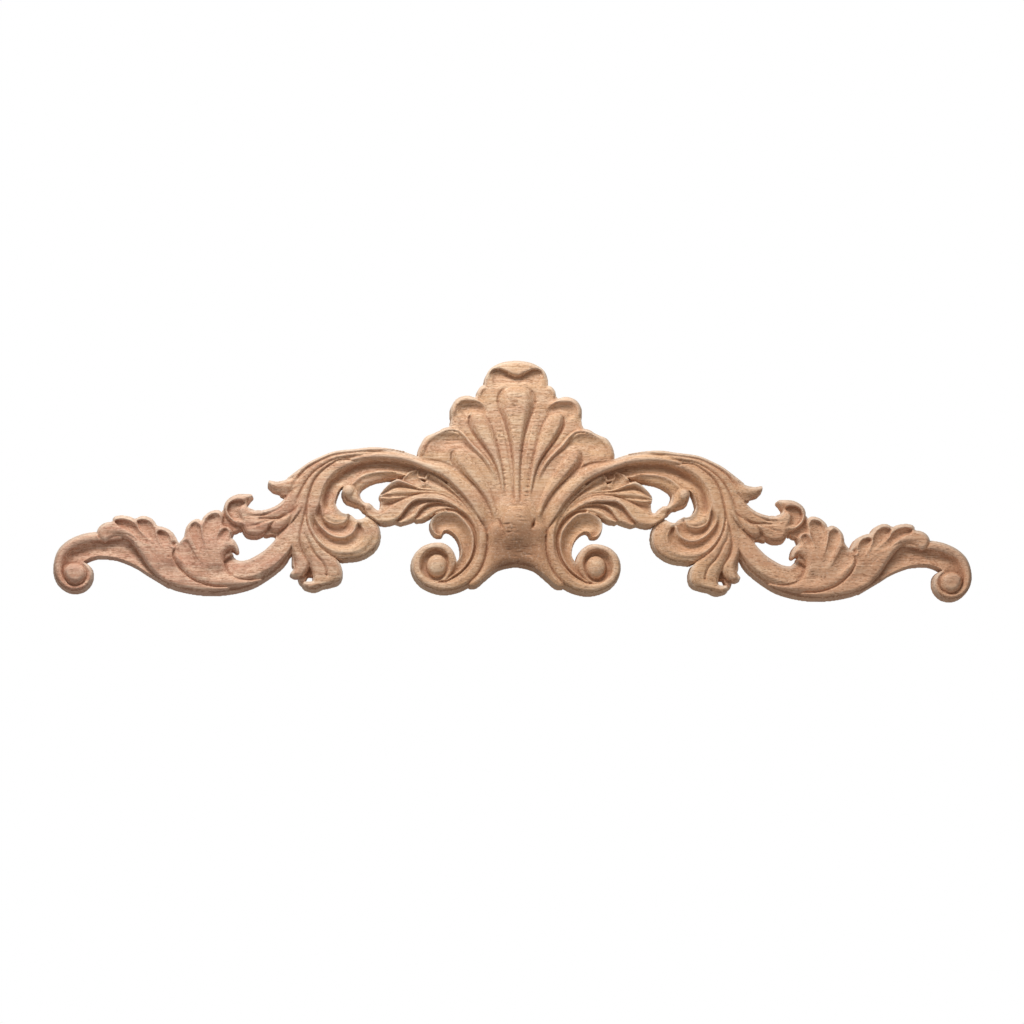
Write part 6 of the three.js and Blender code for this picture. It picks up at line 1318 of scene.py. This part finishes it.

# %% [markdown]
# The shares go onto the mesh as attributes, which the material reads by name. A third
# one marks the rim, the narrow band along the upper edges, where a painted highlight makes
# the wood palest of all: there, few of the samples just above hold wood. The flat back has
# none of them.

# %% Shares on the mesh
RIM_BLUR, RIM_LOOK_UP, RIM_DEPTH = 0.8, 1, 0.9  # mm
RIM_STARTS, RIM_REACH = 0.86, 0.4  # shares of wood above
BACK_SKIN = 0.5  # mm

place = np.zeros(3 * len(finished.vertices), np.float32)
finished.vertices.foreach_get("co", place)
place = place.reshape(-1, 3) / MM
sample = sample_at(place[:, 0], place[:, 2])
# Painted highlight along the upper edges, which face the light above.
wood_above = np.roll(average(held_share, RIM_BLUR / CELL), -round(RIM_LOOK_UP / CELL), 0)[sample]
upper_edge_highlight = np.clip((RIM_STARTS - wood_above) / RIM_REACH, 0, 1)
upper_edge_highlight *= -place[:, 1] > surface[sample] - RIM_DEPTH
off_the_back = place[:, 1] < -BACK_SKIN
# Painted shade in recesses, painted highlight and wear on crests, and painted highlight on upper edges go
# onto the mesh.
for name, shares in (("recess_shade", recess_shade[sample]), ("crest", crest[sample]), ("upper_edge_highlight", upper_edge_highlight)):
    layer = finished.attributes.new(name, "FLOAT", "POINT")
    layer.data.foreach_set("value", (shares * off_the_back).astype(np.float32))
    print(f"{name}: {shares.mean():.2f} on average over {len(shares)} vertices")

# %% [markdown]
# Shader maths is written as Python. The small class below wraps a socket, so that an
# expression such as 1 - mask * 0.5 adds its Math nodes to the material.

# %% Sockets as numbers
class Socket:
    """A socket of a material's node tree that takes part in sums, products and comparisons."""

    def __init__(self, tree, out):
        self.tree, self.out = tree, out

    def math(self, operation, *others):
        """A Math node on this socket and further values."""
        return Socket(self.tree, node(self.tree, "ShaderNodeMath", {"operation": operation},
                                      dict(enumerate((self, *others)))).out)

    def __add__(self, other): return self.math("ADD", other)
    def __sub__(self, other): return self.math("SUBTRACT", other)
    def __mul__(self, other): return self.math("MULTIPLY", other)
    def __rsub__(self, other): return (self * -1) + other
    __radd__, __rmul__ = __add__, __mul__

    def clamp(self):
        """Held between 0 and 1."""
        return self.math("MAXIMUM", 0).math("MINIMUM", 1)

    def between(self, low, high):
        """Eased share of the way from low to high."""
        return node(self.tree, "ShaderNodeMapRange", {"interpolation_type": "SMOOTHSTEP"},
                    {"Value": self, "From Min": low, "From Max": high})


def node(tree, kind, settings=None, inputs=None, output=0):
    """Adds any node: its settings first, then the values or links of its sockets."""
    made = tree.nodes.new(kind)
    for name, value in (settings or {}).items():
        setattr(made, name, value)
    for name, value in (inputs or {}).items():
        if isinstance(value, Socket):
            tree.links.new(value.out, made.inputs[name])
        else:
            made.inputs[name].default_value = value
    return Socket(tree, made.outputs[output])


def mix(tree, share, first, second):
    """Mixes two colours by a share."""
    return node(tree, "ShaderNodeMix", {"data_type": "RGBA"}, {0: share, 6: first, 7: second}, output=2)


def colour(code):
    """A colour written as on a paint card, in the linear values that a shader wants."""
    share = np.array([int(code[k:k + 2], 16) for k in (0, 2, 4)]) / 255
    return (*np.where(share <= 0.04045, share / 12.92, ((share + 0.055) / 1.055) ** 2.4), 1)


# %% [markdown]
# The timber is pale, straight-grained and raw: no stain, no lacquer. Its patterns are
# slow bands along the board, fine streaks, and dark pores a few millimetres long and a
# hair wide. All are noise that is drawn out along X, as the grain runs.

# %% Patterns of the timber
timber = bpy.data.materials.new("carved_wood_raw")
timber.use_nodes = True
tree = timber.node_tree
shader = tree.nodes["Principled BSDF"]

where = node(tree, "ShaderNodeTexCoord", output=3)


def stretched(x_size, y_size, z_size):
    """Object coordinates in units of a pattern's own size in mm along each axis."""
    return node(tree, "ShaderNodeMapping", None,
                {"Vector": where, "Scale": (1 / (x_size * MM), 1 / (y_size * MM), 1 / (z_size * MM))})


def grain(x_size, across, detail, roughness):
    """Noise drawn out along the grain, from about 0.25 to 0.75."""
    return node(tree, "ShaderNodeTexNoise", None,
                {"Vector": stretched(x_size, across, across), "Scale": 1.0,
                 "Detail": detail, "Roughness": roughness})


apart = node(tree, "ShaderNodeSeparateXYZ", None, {"Vector": where})
along_x, up_z = apart, Socket(tree, apart.out.node.outputs[2])
from_middle = along_x.math("ABSOLUTE")

bands = grain(90, 7, 3, 0.55)
streaks = grain(26, 1.1, 4, 0.62)
fibres = grain(7, 0.32, 3, 0.6)
patches = grain(16, 9, 2, 0.5)
pore_field = grain(2.6, 0.3, 1.0, 0.4)
pores = (pore_field + patches * 0.22).between(0.70, 0.80)
specks = grain(0.9, 0.8, 2, 0.6)
rough_places = patches.between(0.38, 0.6) * 0.7 + 0.3
print(f"{len(tree.nodes)} nodes for the patterns")

# %% [markdown]
# The colour starts as pale and deep streaks, yellower at the shell and redder towards the
# ends. Painted shade follows, low on the shell and on the knot, where the light from above
# falls off, and a golden tint towards the right. Then come the pores and specks, and last the
# shares of the mesh: painted shade darkens and reddens the recesses, a painted highlight with
# sanding wear pales the crests, and a painted highlight pales the upper rims.

# %% Colour of the timber
recess_shade_share = node(tree, "ShaderNodeAttribute", {"attribute_name": "recess_shade"}, output=2)
crest_highlight_and_wear = node(tree, "ShaderNodeAttribute", {"attribute_name": "crest"}, output=2)
upper_edge_highlight_share = node(tree, "ShaderNodeAttribute", {"attribute_name": "upper_edge_highlight"}, output=2)

redder = (from_middle.between(0.06, 0.13) * 0.8 + bands.between(0.4, 0.62) * 0.4).clamp()
# Painted shade on the knot, which lies low, away from the light above.
shade_on_knot = (1 - from_middle.between(0.006, 0.018)) * (1 - up_z.between(-0.026, -0.011))
pale = mix(tree, redder, colour("EDCFAF"), colour("E9C5AA"))
deep = mix(tree, redder, colour("D0A681"), colour("C3917A"))
body = mix(tree, (streaks * 0.8 + fibres * 0.5).between(0.46, 0.76), pale, deep)
body = mix(tree, bands.between(0.45, 0.7) * 0.35, body, colour("C28C6C"))
# Painted shade low on the shell, where the light from above falls off.
shade_low_on_shell = (1 - from_middle.between(0.022, 0.04)) * (1 - up_z.between(-0.03, 0.012))
to_right = along_x.between(-0.02, 0.08)
# Painted shade on the lower shell and on the knot.
body = mix(tree, shade_low_on_shell * 0.5, body, colour("C08F68"))
body = mix(tree, shade_on_knot * 0.55, body, colour("A8785A"))
body = mix(tree, to_right * 0.4, body, colour("DEAC7E"))
body = mix(tree, pores * 0.6, body, colour("8A5A40"))
body = mix(tree, specks.between(0.52, 0.7) * rough_places * 0.34, body, colour("9C6A4C"))
body = mix(tree, (1 - specks.between(0.3, 0.48)) * 0.25, body, colour("F6E2CC"))
# Painted shade: recesses darker and redder the deeper they lie.
body = mix(tree, recess_shade_share.between(0.08, 0.8) * 0.55, body, colour("86543A"))
# Painted highlight and sanding wear: crests paler.
body = mix(tree, crest_highlight_and_wear.between(0.1, 0.8) * 0.3, body, colour("F9E4D0"))
# Painted highlight: upper edges paler.
body = mix(tree, upper_edge_highlight_share * 0.5, body, colour("F0DFCB"))
tree.links.new(body.out, shader.inputs["Base Color"])
print(f"{len(tree.nodes)} nodes with the colour")

# %% [markdown]
# Raw timber is dull, and dullest in its pores. The bump gives what is finer than the
# mesh: standing fibres, sunk pores and the fuzz of specks where the cutter left the
# ground rough.

# %% Sheen and bump
roughness = 0.7 + pores * 0.12 + fibres * 0.1
tree.links.new(roughness.out, shader.inputs["Roughness"])
shader.inputs["Specular IOR Level"].default_value = 0.28

relief = fibres * 0.35 + streaks * 0.25 - pores * 0.8 - specks * rough_places * 0.9
bump = node(tree, "ShaderNodeBump", None, {"Height": relief, "Strength": 0.7, "Distance": 0.2 * MM})
tree.links.new(bump.out, shader.inputs["Normal"])
finished.materials.clear()
finished.materials.append(timber)
print(f"{len(tree.nodes)} nodes in the timber")
